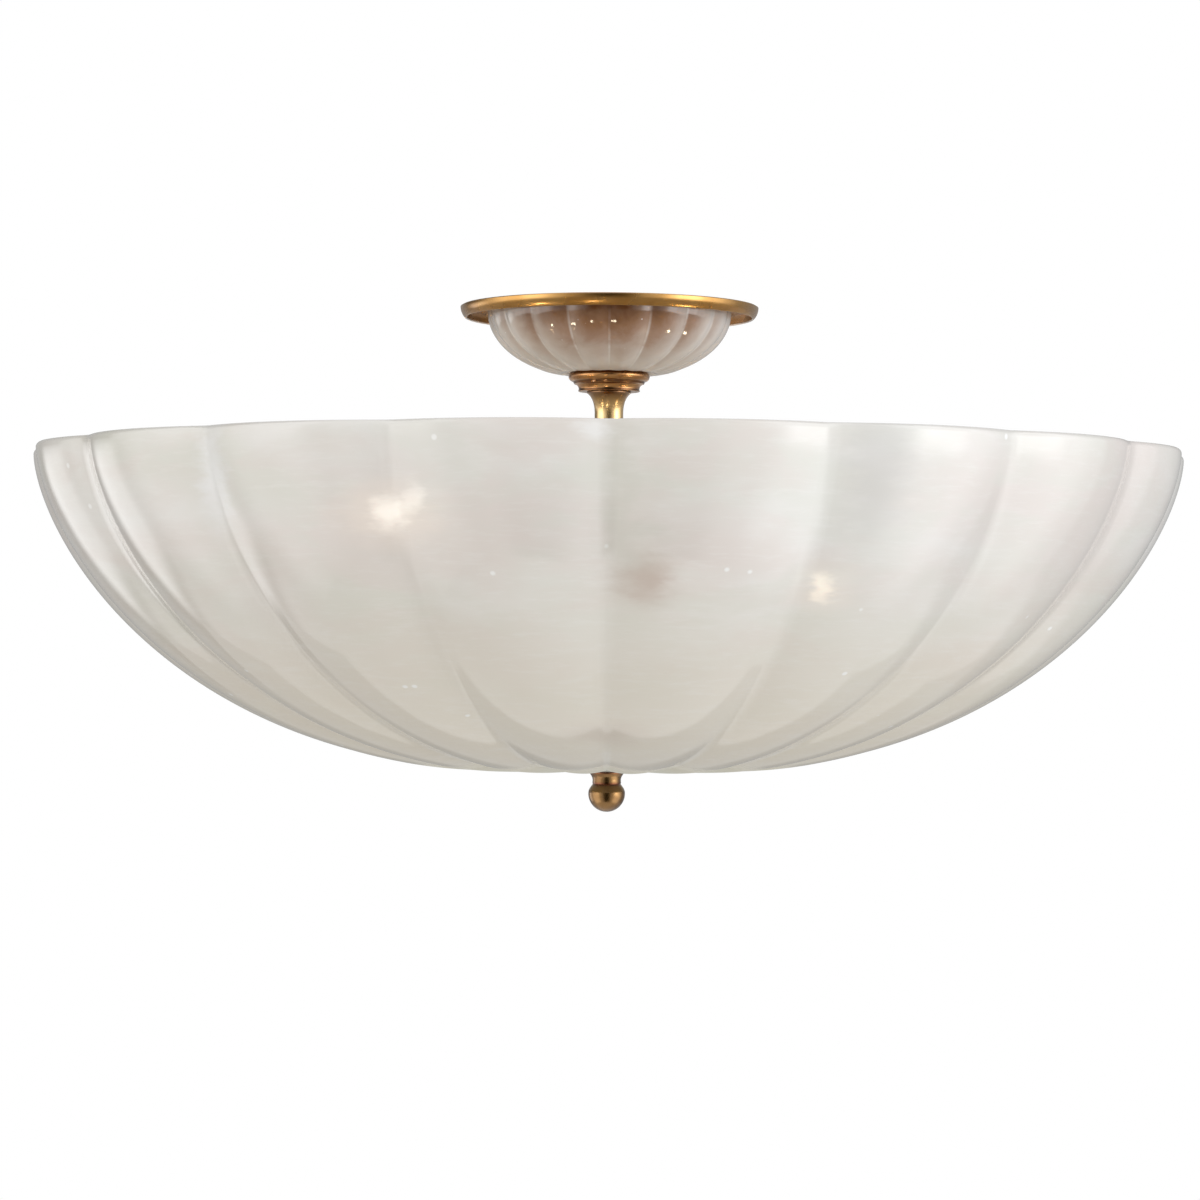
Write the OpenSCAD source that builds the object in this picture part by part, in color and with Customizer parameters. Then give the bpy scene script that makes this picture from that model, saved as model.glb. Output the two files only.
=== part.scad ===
// Semi-flush ceiling light with a lobed glass bowl, a ribbed glass canopy and turned brass fittings.
// Millimetres. The origin is the centre of the ceiling face, +Z points up into the ceiling,
// and the camera side of the light is -Y.

/* [Bowl] */
// Width of the bowl across the tops of opposite lobes at the rim
bowl_w = 610; // [520:1:700]
// Drop from the ceiling to the top of the rim
bowl_drop = 78.5; // [70:0.5:100]
// Depth of the bowl from the top of the rim to the crease at the bottom, without the rise
bowl_depth = 169.5; // [150:0.5:190]
// Thickness of the bowl glass
bowl_wall = 5.5; // [4:0.1:8]
// Number of lobes round the bowl
bowl_lobes = 18; // [12:1:24]
// How far a lobe stands proud of its creases at the rim
bowl_lobe_h = 8.7; // [4:0.1:12]
// Flatness of the bowl's floor, as the exponent of the radius
bowl_floor_power = 2.55; // [2:0.05:3.2]
// Roundness of the bowl's side, as the root of the height
bowl_side_root = 1.53; // [1.3:0.01:2]
// Radius of the flat seat in the middle of the bowl
bowl_seat_r = 14; // [13:0.5:18]
// Radius at which the rise towards the seat runs out into the floor
bowl_dimple_r = 110; // [60:1:140]
// Height of the rise
bowl_dimple_h = 2.6; // [0.5:0.1:3.5]
// Radial room between the bowl's centre hole and the rod
bowl_hole_room = 1.5; // [1:0.1:3]

/* [Canopy] */
// Diameter of the brass pan
pan_d = 158.6; // [152:0.2:175]
// Depth of the pan's rim below the ceiling
pan_rim_h = 6.4; // [5:0.1:7.5]
// Radius of the rounded outside of the pan's rim
pan_rim_r = 8; // [7.6:0.1:12]
// Thickness of the pan's sheet
pan_wall = 1.2; // [0.8:0.1:1.6]
// Radius of the opening in the pan over the outlet box
pan_open_r = 57; // [56:0.2:59]
// Diameter of the glass dome across opposite ribs at its rim
dome_d = 130; // [127:0.5:136]
// Depth of the dome, without the dimple
dome_depth = 35.5; // [32:0.5:40]
// Thickness of the dome glass
dome_wall = 4; // [3:0.1:5]
// Number of ribs round the dome
dome_lobes = 18; // [12:1:24]
// How far a rib stands proud of its creases at the rim
dome_lobe_h = 1.6; // [0.8:0.1:2.4]
// Flatness of the dome's floor, as the exponent of the radius
dome_floor_power = 2.3; // [2:0.05:3]
// Roundness of the dome's side, as the root of the height
dome_side_root = 2; // [1.5:0.05:2.4]
// Radius of the flat seat in the middle of the dome
dome_seat_r = 18; // [17:0.5:19]
// Radius at which the dome's dimple runs out
dome_dimple_r = 27; // [25:0.5:32]
// Height of the dome's dimple
dome_dimple_h = 4.3; // [3.5:0.1:5]
// Thickness of the ring gasket on the dome's rim
gasket_t = 1.5; // [1:0.1:2.5]

/* [Mounting hardware] */
// Length of the steel crossbar
bar_l = 108; // [102:0.5:110]
// Width of the crossbar
bar_w = 22; // [18:0.5:26]
// Thickness of the crossbar
bar_t = 2.4; // [1.6:0.1:3]
// Distance between the centres of the two box screw slots
slot_pitch = 88.9; // [84:0.1:90]
// Width of a slot
slot_w = 5; // [4.4:0.1:6]
// Length of a slot from end to end
slot_l = 12; // [8:0.5:14]
// Distance of the earthing screw from the rod
ground_x = 26; // [20:0.5:32]
// Diameter of the earthing screw
ground_d = 4; // [3.5:0.1:5]

/* [Rod and nuts] */
// Outside diameter of the hollow threaded rod
rod_d = 10; // [9.5:0.1:10.5]
// Wire way through the rod
rod_bore_d = 6; // [5:0.1:7]
// Height of the rod above the ceiling, in the outlet box
rod_top = 7; // [6:0.5:12]
// Length of the rod inside the finial
rod_in_finial = 9; // [7:0.1:9.5]
// Width across the flats of the hex nuts
nut_af = 14; // [13:0.1:16]
// Thickness of the hex nuts
nut_t = 5; // [4:0.1:6]
// Thickness of the washers
washer_t = 1.5; // [1:0.1:2]

/* [Neck] */
// Outside diameter of the collar's torus moulding
torus_d = 43.2; // [41:0.1:46]
// Height of the torus moulding
torus_h = 5.7; // [5:0.1:6.5]
// Height of the step and the cove under the torus
cove_h = 5.2; // [4.5:0.1:7]
// Height of the step alone
step_h = 1.2; // [0.8:0.1:1.6]
// Diameter of the collar's foot, under the cove
foot_d = 32.8; // [30:0.1:34]
// Height of the foot's straight edge
foot_h = 0.8; // [0.5:0.1:1.2]
// Diameter of the stem's flared top
flare_d = 23.7; // [22:0.1:28]
// Height of the flare
flare_h = 11; // [9:0.1:16]
// Outside diameter of the stem
stem_d = 15.2; // [14.6:0.1:16.5]

/* [Lamp cluster] */
// Depth of the middle of the hub below the ceiling
hub_z = 141; // [135:0.5:146]
// Outside diameter of the hub
hub_d = 42; // [40:0.5:46]
// Height of the hub with its cap
hub_h = 26; // [24:0.5:28]
// Thickness of the hub's sheet
hub_wall = 1.5; // [1.2:0.1:2]
// Tilt of the lamps above the horizontal
lamp_tilt = 8; // [0:0.5:10]
// How far the bosses for the arms stand out of the hub
boss_proud = 3; // [2:0.1:3.5]
// Distance of the back of a lampholder from the middle of the hub
holder_start = 33; // [32:0.5:38]
// Length of a lampholder
holder_l = 50; // [48:0.5:54]
// Wall of a lampholder round its bore, at the mouth
holder_wall = 4; // [3:0.1:6]
// Thickness of the screw shell in a lampholder
shell_wall = 0.6; // [0.4:0.1:0.8]
// Radial room between the screw shell and the wall of its lampholder
shell_room = 0.9; // [0.3:0.1:1.5]
// Depth of the screw shell's rim behind the lampholder's mouth
shell_inset = 3; // [1:0.1:6]
// Diameter of the lamp's metal cap
cap_d = 26.4; // [25:0.1:28]
// Length of the lamp's metal cap inside the lampholder
cap_l = 26; // [25:0.5:27]
// Diameter of the lamp's glass
bulb_d = 60; // [55:0.5:65]
// Length of the lamp's glass outside the lampholder
bulb_l = 80; // [76:0.5:88]
// Thickness of the lamp's glass
bulb_wall = 1; // [0.8:0.1:1.5]

/* [Bowl clamp] */
// Diameter of the plate that spreads the load on the bowl
check_plate_d = 40; // [34:0.5:46]
// Thickness of the rubber washer under the bowl
lower_washer_t = 2; // [1:0.1:3]
// Diameter of the rubber washer under the bowl
lower_washer_d = 18; // [16:0.5:22]

/* [Finial] */
// Diameter of the finial's flared top
finial_top_d = 18.5; // [17:0.1:20]
// Diameter of the finial's waist
waist_d = 15; // [14:0.1:16]
// Height from the flared top to the waist
waist_drop = 4.4; // [4:0.1:5]
// Height from the flared top to the groove over the ball
groove_drop = 6.6; // [6:0.1:7]
// Diameter of the finial's ball
ball_d = 19.5; // [19:0.1:22]
// Height from the flared top to the centre of the ball
ball_drop = 11.7; // [11.2:0.1:12.4]

/* [Hidden] */
lamps = [1, 2, 3];

$fn = 96;
// Radial room of a hole round a threaded piece that it is screwed or pushed on
thread_room = 0.05;
// Radial room of a hole that a rod only passes through
pass_room = 0.3;
// Room between a turning lamp and its lampholder
turn_room = 0.3;
// Radial room between the finial's bore and the rod that it turns on
finial_room = 0.08;
// Overlap of a cutting solid past the face that it cuts
cut = 1;
// Azimuth of one crease: it faces the front, which is -Y
crease_az = -90;
// Azimuths of the three lamps
lamp_az = [-30, 90, 210];

rod_r = rod_d / 2;
bore_r = rod_r + thread_room;
pass_r = rod_r + pass_room;

// Steps of the mesh of a lobed glass: per lobe, and in the list of places along the profile
bowl_steps = 6;
dome_steps = 5;

bowl_lip_r = bowl_wall / 2;
bowl_form = [
    bowl_w / 2 - bowl_lobe_h,
    bowl_drop + bowl_lip_r,
    bowl_depth - bowl_lip_r,
    bowl_floor_power,
    bowl_side_root,
    bowl_lobe_h,
    bowl_seat_r,
    bowl_dimple_r,
    bowl_dimple_h,
    bowl_lobes
];
dome_form = [
    dome_d / 2 - dome_lobe_h,
    pan_wall + gasket_t,
    dome_depth,
    dome_floor_power,
    dome_side_root,
    dome_lobe_h,
    dome_seat_r,
    dome_dimple_r,
    dome_dimple_h,
    dome_lobes
];

// Heights, from the dome's seat down to the foot of the stem
dome_seat_z = crease_point(dome_form, dome_seat_r)[1];
collar_top_z = dome_seat_z - washer_t;
collar_foot_z = collar_top_z - torus_h - cove_h;
hub_top_z = -hub_z + hub_h / 2;
hub_bottom_z = -hub_z - hub_h / 2;

// Heights round the middle of the bowl
bowl_seat_z = crease_point(bowl_form, bowl_seat_r)[1];
bowl_inner_z = bowl_seat_z + bowl_wall;
finial_top_z = bowl_seat_z - lower_washer_t;
stop_nut_z = bowl_inner_z + 2 * washer_t;

// Heights of the live contact and of the insulator that ends the lamp's cap
contact_h = 3;
tip_h = 2.7;
// Length of an arm inside the hub and inside its lampholder, and spare depth of the socket
arm_in_hub = 5;
arm_in_holder = 8;
socket_spare = 1;
// Sheet of the lamp's cap
cap_wall = 0.5;

// Places along a lamp, from the middle of the hub outwards
arm_start = hub_d / 2 - arm_in_hub;
boss_end = hub_d / 2 + boss_proud;
holder_end = holder_start + holder_l;
cap_start = holder_end - cap_l;
tip_start = cap_start - tip_h;
bore_floor = tip_start - turn_room - contact_h;

// Radii round a lamp's axis
shell_r = cap_d / 2 + turn_room;
holder_bore_r = shell_r + shell_wall + shell_room;
holder_r = holder_bore_r + holder_wall;
lamp_neck_r = cap_d / 2 - cap_wall;

// Radius and height of a point on a crease of a lobed glass, by its radius.
// Form: [rim radius, rim depth, height, floor power, side root, lobe height, seat radius,
// dimple radius, dimple height, lobes]
function crease_point(form, r) =
    [r, -form[1] - form[2] * pow(1 - pow(min(1, r / form[0]), form[3]), 1 / form[4])
        + form[8] * (1 - smooth((r - form[6]) / (form[7] - form[6])))];

// Smooth step from 0 to 1
function smooth(t) = let(c = max(0, min(1, t))) c * c * (3 - 2 * c);

// Outward normal of the crease's profile in the plane through the axis: level at the rim
function crease_normal(form, r) =
    let(
        step = min(form[0] / 500, (form[0] - r) / 2),
        run = crease_point(form, r + step) - crease_point(form, r - step)
    )
    step > 0 ? [run[1], -run[0]] / norm(run) : [1, 0];

// How far the glass stands out of its crease: an arch across each lobe that grows with the radius
function lobe_height(form, r, u) =
    form[5] * r / form[0] * smooth((r - form[6]) / form[6]) * (1 - pow(2 * u - 1, 2));

// Point on a lobed glass: radius on the crease, place across the lobe, and depth under the skin
function lobed_point(form, r, az, u, depth) =
    let(
        p = crease_point(form, r) + crease_normal(form, r) * (lobe_height(form, r, u) - depth)
    )
    [p[0] * cos(az), p[0] * sin(az), p[1]];

// Radii of the rings: over the dimple in even steps, then up the side in even angles
function ring_radii(form, dimple_rings, side_rings) =
    let(start = asin(form[7] / form[0]))
    concat(
        [for (i = [0 : dimple_rings - 1]) form[6] + (form[7] - form[6]) * i / dimple_rings],
        [for (i = [0 : side_rings]) form[0] * sin(start + (90 - start) * i / side_rings)]
    );

// One ring of points round a lobed glass, lifted for the rounded lip
function lobed_ring(form, steps, r, depth, lift) =
    let(count = form[9] * steps)
    [for (j = [0 : count - 1])
        lobed_point(form, r, crease_az + 360 * j / count, (j % steps) / steps, depth) + [0, 0, lift]];

function flip(list) = [for (i = [len(list) - 1 : -1 : 0]) list[i]];

// A lobed glass shell with flat seats in the middle: rings up the outside, over the lip and down
// the inside, each joined to the next by two triangles for each step
module lobed_shell(form, steps, wall, dimple_rings, side_rings, lip_steps, inner_side_rings) {
    count = form[9] * steps;
    outer = ring_radii(form, dimple_rings, side_rings);
    inner = flip(ring_radii(form, dimple_rings, inner_side_rings));
    rings = concat(
        [for (r = outer) lobed_ring(form, steps, r, 0, 0)],
        [for (i = [1 : 1 : lip_steps - 1])
            let(turn = 180 * i / lip_steps)
            lobed_ring(form, steps, form[0], wall / 2 * (1 - cos(turn)), wall / 2 * sin(turn))],
        [for (r = inner) lobed_ring(form, steps, r, wall, 0)]
    );
    last = len(rings) - 1;
    polyhedron(
        points = [for (ring = rings) for (p = ring) p],
        faces = concat(
            [[for (j = [0 : count - 1]) j]],
            [for (k = [0 : last - 1]) for (j = [0 : count - 1])
                let(n = (j + 1) % count, a = k * count, b = a + count)
                [a + j, b + n, a + n]],
            [for (k = [0 : last - 1]) for (j = [0 : count - 1])
                let(n = (j + 1) % count, a = k * count, b = a + count)
                [a + j, b + j, b + n]],
            [[for (j = [count - 1 : -1 : 0]) last * count + j]]
        ),
        convexity = 8
    );
}

// Points of a cubic curve through its two end points
function curve(a, b, c, d, steps) =
    [for (i = [0 : steps])
        let(t = i / steps, s = 1 - t)
        s * s * s * a + 3 * s * s * t * b + 3 * s * t * t * c + t * t * t * d];

// Points of an arc in the profile plane
function arc(centre, r, from, to, steps) =
    [for (i = [0 : steps])
        let(a = from + (to - from) * i / steps)
        centre + r * [cos(a), sin(a)]];

module ring(outer_r, inner_r, height) {
    difference() {
        cylinder(r = outer_r, h = height);
        translate([0, 0, -cut]) cylinder(r = inner_r, h = height + 2 * cut);
    }
}

module hex_nut(height) {
    difference() {
        cylinder(d = nut_af / cos(30), h = height, $fn = 6);
        translate([0, 0, -cut]) cylinder(r = bore_r, h = height + 2 * cut);
    }
}

// Places its children along lamp i: their +Z is the lamp's axis, away from the hub
module at_lamp(i) {
    translate([0, 0, -hub_z]) rotate([0, 0, lamp_az[i - 1]]) rotate([0, 90 - lamp_tilt, 0]) children();
}

// Steel strap with rounded ends, two box screw slots and the tapped holes
module crossbar() {
    end_x = bar_l / 2 - bar_w / 2;
    slot_x = (slot_l - slot_w) / 2;
    color("silver") translate([0, 0, -bar_t]) difference() {
        union() {
            translate([-end_x, -bar_w / 2, 0]) cube([2 * end_x, bar_w, bar_t]);
            for (side = [-1, 1]) translate([side * end_x, 0, 0]) cylinder(d = bar_w, h = bar_t);
        }
        for (side = [-1, 1]) translate([side * slot_pitch / 2, 0, -cut]) {
            for (end = [-1, 1]) translate([end * slot_x, 0, 0]) cylinder(d = slot_w, h = bar_t + 2 * cut);
            translate([-slot_x, -slot_w / 2, 0]) cube([2 * slot_x, slot_w, bar_t + 2 * cut]);
        }
        translate([0, 0, -cut]) cylinder(r = bore_r, h = bar_t + 2 * cut);
        translate([ground_x, 0, -cut]) cylinder(r = ground_d / 2 + thread_room, h = bar_t + 2 * cut);
    }
}

// Hex nuts above and below the crossbar
module crossbar_nuts() {
    color("gainsboro") {
        hex_nut(nut_t);
        translate([0, 0, -bar_t - nut_t]) hex_nut(nut_t);
    }
}

// Earthing screw, with its slotted head under the crossbar
module ground_screw() {
    head_d = 2 * ground_d;
    head_h = ground_d / 2;
    shank_up = 3;
    drive_w = 1;
    drive_depth = 1;
    color("green") translate([ground_x, 0, 0]) difference() {
        union() {
            translate([0, 0, -bar_t]) cylinder(d = ground_d, h = bar_t + shank_up);
            translate([0, 0, -bar_t - head_h]) cylinder(d = head_d, h = head_h);
        }
        translate([-head_d, -drive_w / 2, -bar_t - head_h - cut])
            cube([2 * head_d, drive_w, cut + drive_depth]);
    }
}

// Hollow threaded rod that carries everything
module center_rod() {
    bottom = finial_top_z - rod_in_finial;
    color("tan") translate([0, 0, bottom]) ring(rod_r, rod_bore_d / 2, rod_top - bottom);
}

// Spun pan: a flat ring against the ceiling with a rounded rim turned down
module canopy_pan() {
    edge_h = 0.6;
    turn = asin((pan_rim_h - edge_h) / pan_rim_r);
    centre = [pan_d / 2 - pan_rim_r, -edge_h];
    color("goldenrod") rotate_extrude() polygon(concat(
        [[pan_open_r, 0], [pan_d / 2 - edge_h, 0]],
        arc(centre, pan_rim_r, 0, -turn, 8),
        arc(centre, pan_rim_r - pan_wall, -turn, 0, 8),
        [[pan_d / 2 - pan_wall - edge_h, -pan_wall], [pan_open_r, -pan_wall]]
    ));
}

module dome_gasket() {
    color("dimgray") translate([0, 0, -pan_wall - gasket_t])
        ring(dome_form[0], dome_form[0] - dome_wall, gasket_t);
}

// Ribbed glass dome with a hole for the rod in its seat
module canopy_dome() {
    reach = 2 * dome_depth;
    color("rosybrown") difference() {
        lobed_shell(dome_form, dome_steps, dome_wall,
            dimple_rings = 3, side_rings = 8, lip_steps = 1, inner_side_rings = 7);
        translate([0, 0, -reach]) cylinder(r = pass_r, h = reach);
    }
}

module dome_washer() {
    margin = 0.6;
    color("dimgray") translate([0, 0, collar_top_z]) ring(dome_seat_r - margin, pass_r, washer_t);
}

// Turned collar: torus, step, cove and foot
module neck_collar() {
    torus_r = torus_h / 2;
    torus_x = torus_d / 2 - torus_r;
    torus_z = collar_top_z - torus_r;
    step_z = torus_z - torus_r - step_h;
    foot_top = collar_foot_z + foot_h;
    // How far the cove's curve sets off inwards and down from the step, and back and up from the foot
    cove_top = [-2, -0.4];
    cove_foot = [-0.3, 1.6];
    color("darkgoldenrod") rotate_extrude() polygon(concat(
        [[pass_r, collar_top_z]],
        arc([torus_x, torus_z], torus_r, 90, -90, 12),
        curve(
            [torus_x, step_z],
            [torus_x, step_z] + cove_top,
            [foot_d / 2, foot_top] + cove_foot,
            [foot_d / 2, foot_top],
            8
        ),
        [[foot_d / 2, collar_foot_z], [pass_r, collar_foot_z]]
    ));
}

// Flared tube between the collar and the hub
module stem() {
    lip = 0.8;
    // How far the flare's curve sets off inwards, and the shares of its height that steer it
    flare_in = 2.2;
    top_pull = 0.12;
    foot_pull = 0.42;
    flare_r = flare_d / 2;
    stem_r = stem_d / 2;
    flare_z = collar_foot_z - lip;
    color("darkgoldenrod") rotate_extrude() polygon(concat(
        [[pass_r, collar_foot_z], [flare_r, collar_foot_z]],
        curve(
            [flare_r, flare_z],
            [flare_r - flare_in, flare_z - top_pull * flare_h],
            [stem_r, flare_z - foot_pull * flare_h],
            [stem_r, flare_z - flare_h],
            12
        ),
        [[stem_r, hub_top_z], [pass_r, hub_top_z]]
    ));
}

// Spun cup with a rounded shoulder and three flat bosses for the arms
module hub_body() {
    r = hub_d / 2;
    shoulder = 5;
    boss_r = 8;
    boss_in = 3;
    boss_start = r - boss_in;
    color("peru") difference() {
        union() {
            translate([0, 0, hub_bottom_z + hub_wall]) rotate_extrude() polygon(concat(
                [[pass_r, hub_h - hub_wall]],
                arc([r - shoulder, hub_h - hub_wall - shoulder], shoulder, 90, 0, 6),
                [[r, 0], [r - hub_wall, 0]],
                arc([r - shoulder, hub_h - hub_wall - shoulder], shoulder - hub_wall, 0, 90, 6),
                [[pass_r, hub_h - 2 * hub_wall]]
            ));
            for (i = lamps) at_lamp(i) translate([0, 0, boss_start])
                cylinder(r = boss_r, h = boss_end - boss_start);
        }
        for (i = lamps) at_lamp(i) translate([0, 0, arm_start])
            cylinder(r = bore_r, h = boss_end + cut - arm_start);
    }
}

module hub_cap() {
    color("peru") translate([0, 0, hub_bottom_z]) ring(hub_d / 2, pass_r, hub_wall);
}

module hub_washer() {
    ledge = 3.5;
    color("gainsboro") translate([0, 0, hub_bottom_z - washer_t]) ring(nut_af / 2 + ledge, pass_r, washer_t);
}

module hub_nut() {
    color("gainsboro") translate([0, 0, hub_bottom_z - washer_t - nut_t]) hex_nut(nut_t);
}

// Threaded tube from inside the hub into the back of a lampholder
module arm() {
    end = holder_start + arm_in_holder;
    color("tan") translate([0, 0, arm_start]) ring(rod_r, rod_bore_d / 2, end - arm_start);
}

// Lock nut on each arm, against its boss
module arm_nuts() {
    color("gainsboro") for (i = lamps) at_lamp(i) translate([0, 0, boss_end]) hex_nut(nut_t);
}

// Lampholder: a turned body with a tapered back, a bore for the screw shell and a raised mouth
module holder() {
    back_r = 12;
    taper = 9;
    mouth_h = 4;
    mouth_proud = 1;
    body_r = holder_r - mouth_proud;
    color("ivory") difference() {
        rotate_extrude() polygon([
            [0, holder_start],
            [back_r, holder_start],
            [body_r, holder_start + taper],
            [body_r, holder_end - mouth_h - mouth_proud],
            [holder_r, holder_end - mouth_h],
            [holder_r, holder_end],
            [0, holder_end]
        ]);
        translate([0, 0, bore_floor]) cylinder(r = holder_bore_r, h = holder_l);
        translate([0, 0, holder_start - cut])
            cylinder(r = bore_r, h = cut + arm_in_holder + socket_spare);
        translate([0, 0, holder_start]) cylinder(r = rod_bore_d / 2, h = holder_l);
    }
}

// Threaded shell that takes the lamp's cap, with a flange that fits the bore
module screw_shell() {
    flange_h = 1;
    color("gold") translate([0, 0, bore_floor]) {
        ring(shell_r + shell_wall, shell_r, holder_end - shell_inset - bore_floor);
        ring(holder_bore_r - thread_room, shell_r, flange_h);
    }
}

// Centre contact on the floor of the bore
module contact() {
    foot_r = 5;
    foot_t = 0.6;
    button_r = 2.4;
    bevel_w = 0.8;
    color("gold") translate([0, 0, bore_floor]) rotate_extrude() polygon([
        [0, 0],
        [foot_r, 0],
        [foot_r, foot_t],
        [button_r + bevel_w, contact_h - foot_t],
        [button_r, contact_h],
        [0, contact_h]
    ]);
}

// Screw cap of the lamp, a thin metal sleeve
module bulb_cap() {
    color("lightgray") translate([0, 0, cap_start]) ring(cap_d / 2, lamp_neck_r, cap_l);
}

// Black insulator with the lamp's centre contact
module bulb_tip() {
    contact_r = 3;
    bevel = [1, 0.8];
    skirt_w = 2.5;
    plug_h = 2;
    color("black") rotate_extrude() polygon([
        [0, tip_start],
        [contact_r, tip_start],
        [contact_r, tip_start] + bevel,
        [lamp_neck_r - skirt_w, cap_start],
        [lamp_neck_r, cap_start],
        [lamp_neck_r, cap_start + plug_h],
        [0, cap_start + plug_h]
    ]);
}

// Hollow glass of the lamp: neck, cheek and globe, open at the neck
module bulb_glass() {
    neck_in_cap = 10;
    // Angle from the axis at which the cheek runs into the globe, and how far each end steers it
    join = 65;
    neck_pull = [0.8, 13];
    cheek_pull = 14;
    centre = [0, holder_end + bulb_l - bulb_d / 2];
    // One skin of the glass from its open neck to its crown, the given depth under the outside
    function skin(depth) =
        let(
            neck = [lamp_neck_r - depth, holder_end],
            joined = centre + (bulb_d / 2 - depth) * [sin(join), -cos(join)],
            sweep = arc(centre, bulb_d / 2 - depth, join - 90, 90, 17)
        )
        concat(
            [neck - [0, neck_in_cap]],
            curve(neck, neck + neck_pull, joined - cheek_pull * [cos(join), sin(join)], joined, 10),
            [for (i = [1 : len(sweep) - 1]) sweep[i]]
        );
    color("white") rotate_extrude() polygon(concat(skin(0), flip(skin(bulb_wall))));
}

// Nut on the rod that sets how high the bowl can be pulled up
module bowl_stop_nut() {
    color("gainsboro") translate([0, 0, stop_nut_z]) hex_nut(nut_t);
}

module check_plate() {
    color("silver") translate([0, 0, bowl_inner_z + washer_t]) ring(check_plate_d / 2, pass_r, washer_t);
}

module upper_washer() {
    margin = 1.5;
    color("dimgray") translate([0, 0, bowl_inner_z]) ring(bowl_seat_r - margin, pass_r, washer_t);
}

// The lobed glass bowl with its centre hole
module bowl_glass() {
    color("whitesmoke") difference() {
        lobed_shell(bowl_form, bowl_steps, bowl_wall,
            dimple_rings = 6, side_rings = 12, lip_steps = 3, inner_side_rings = 8);
        translate([0, 0, -bowl_drop - bowl_depth - cut]) cylinder(r = rod_r + bowl_hole_room, h = bowl_depth);
    }
}

module lower_washer() {
    color("dimgray") translate([0, 0, finial_top_z]) ring(lower_washer_d / 2, pass_r, lower_washer_t);
}

// Turned finial: flared top, waist, groove and ball, with a blind hole for the rod
module finial() {
    top_r = finial_top_d / 2;
    waist_r = waist_d / 2;
    ball_r = ball_d / 2;
    centre = [0, finial_top_z - ball_drop];
    groove_z = finial_top_z - groove_drop;
    groove_a = asin((ball_drop - groove_drop) / ball_r);
    bore_spare = 1;
    // Bevel on the top edge, how the neck's curve sets off from it, and the fillet over the groove
    bevel = [0.3, 0.4];
    top_pull = [-0.9, -1];
    waist_pull = 0.6;
    fillet = [0.2, 0.5];
    color("saddlebrown") difference() {
        rotate_extrude() polygon(concat(
            [[0, finial_top_z], [top_r - bevel[0], finial_top_z]],
            curve(
                [top_r, finial_top_z - bevel[1]],
                [top_r, finial_top_z - bevel[1]] + top_pull,
                [waist_r, finial_top_z - waist_pull * waist_drop],
                [waist_r, finial_top_z - waist_drop],
                8
            ),
            [[waist_r + fillet[0], groove_z + fillet[1]], [waist_r - fillet[0], groove_z]],
            arc(centre, ball_r, groove_a, -90, 20)
        ));
        translate([0, 0, finial_top_z - rod_in_finial - bore_spare])
            cylinder(r = rod_r + finial_room, h = rod_in_finial + bore_spare + cut);
    }
}

crossbar();
crossbar_nuts();
ground_screw();
center_rod();
canopy_pan();
dome_gasket();
canopy_dome();
dome_washer();
neck_collar();
stem();
hub_body();
hub_cap();
hub_washer();
hub_nut();
arm_nuts();
for (i = lamps) {
    at_lamp(i) arm();
    at_lamp(i) holder();
    at_lamp(i) screw_shell();
    at_lamp(i) contact();
    at_lamp(i) bulb_cap();
    at_lamp(i) bulb_tip();
    at_lamp(i) bulb_glass();
}
bowl_stop_nut();
check_plate();
upper_washer();
bowl_glass();
lower_washer();
finial();
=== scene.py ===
"""Semi-flush ceiling light: fine shapes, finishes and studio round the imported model.

Lengths are in metres, +Z points up into the ceiling and the front of the light is -Y.
"""

import logging
import math
from dataclasses import dataclass
from enum import Enum
from functools import cache, partial

import bmesh
import bpy
import numpy as np
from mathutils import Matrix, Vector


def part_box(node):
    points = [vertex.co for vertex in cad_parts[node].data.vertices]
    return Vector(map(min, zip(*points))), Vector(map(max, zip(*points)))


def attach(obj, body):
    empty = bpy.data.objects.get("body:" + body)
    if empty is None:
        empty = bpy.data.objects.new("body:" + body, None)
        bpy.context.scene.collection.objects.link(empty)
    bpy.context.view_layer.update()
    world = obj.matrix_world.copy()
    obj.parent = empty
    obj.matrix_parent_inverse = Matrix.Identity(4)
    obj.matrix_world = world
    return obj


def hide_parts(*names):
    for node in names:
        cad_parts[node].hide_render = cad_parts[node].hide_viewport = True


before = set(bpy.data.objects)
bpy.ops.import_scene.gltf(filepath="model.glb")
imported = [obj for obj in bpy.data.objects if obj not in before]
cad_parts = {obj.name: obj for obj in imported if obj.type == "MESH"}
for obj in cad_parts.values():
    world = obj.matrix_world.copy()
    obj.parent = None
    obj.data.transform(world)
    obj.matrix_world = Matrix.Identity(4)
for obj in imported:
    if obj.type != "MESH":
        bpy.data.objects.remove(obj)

log = logging.getLogger("ceiling_light")

MM = 0.001
FULL_TURN = 2 * math.pi
MARKS = "marks"
# Width across the flats of every hex nut, and what its chamfer and its bore's bevel take off
NUT_FLATS = 14.0 * MM
NUT_FACE = 0.96
NUT_CHAMFER = math.radians(30)
NUT_BEVEL = 0.12

Socket = bpy.types.NodeSocket
Triple = tuple[float, float, float]


def linear(code: str) -> tuple[float, float, float, float]:
    """Turns an sRGB hex colour into linear red, green, blue and alpha.

    Args:
        code: the colour as #rrggbb.

    Returns:
        The four linear channels, with alpha 1.
    """
    channels = [int(code[k:k + 2], 16) / 255 for k in (1, 3, 5)]
    return (*[c / 12.92 if c <= 0.04045 else ((c + 0.055) / 1.055) ** 2.4 for c in channels], 1.0)


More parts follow.
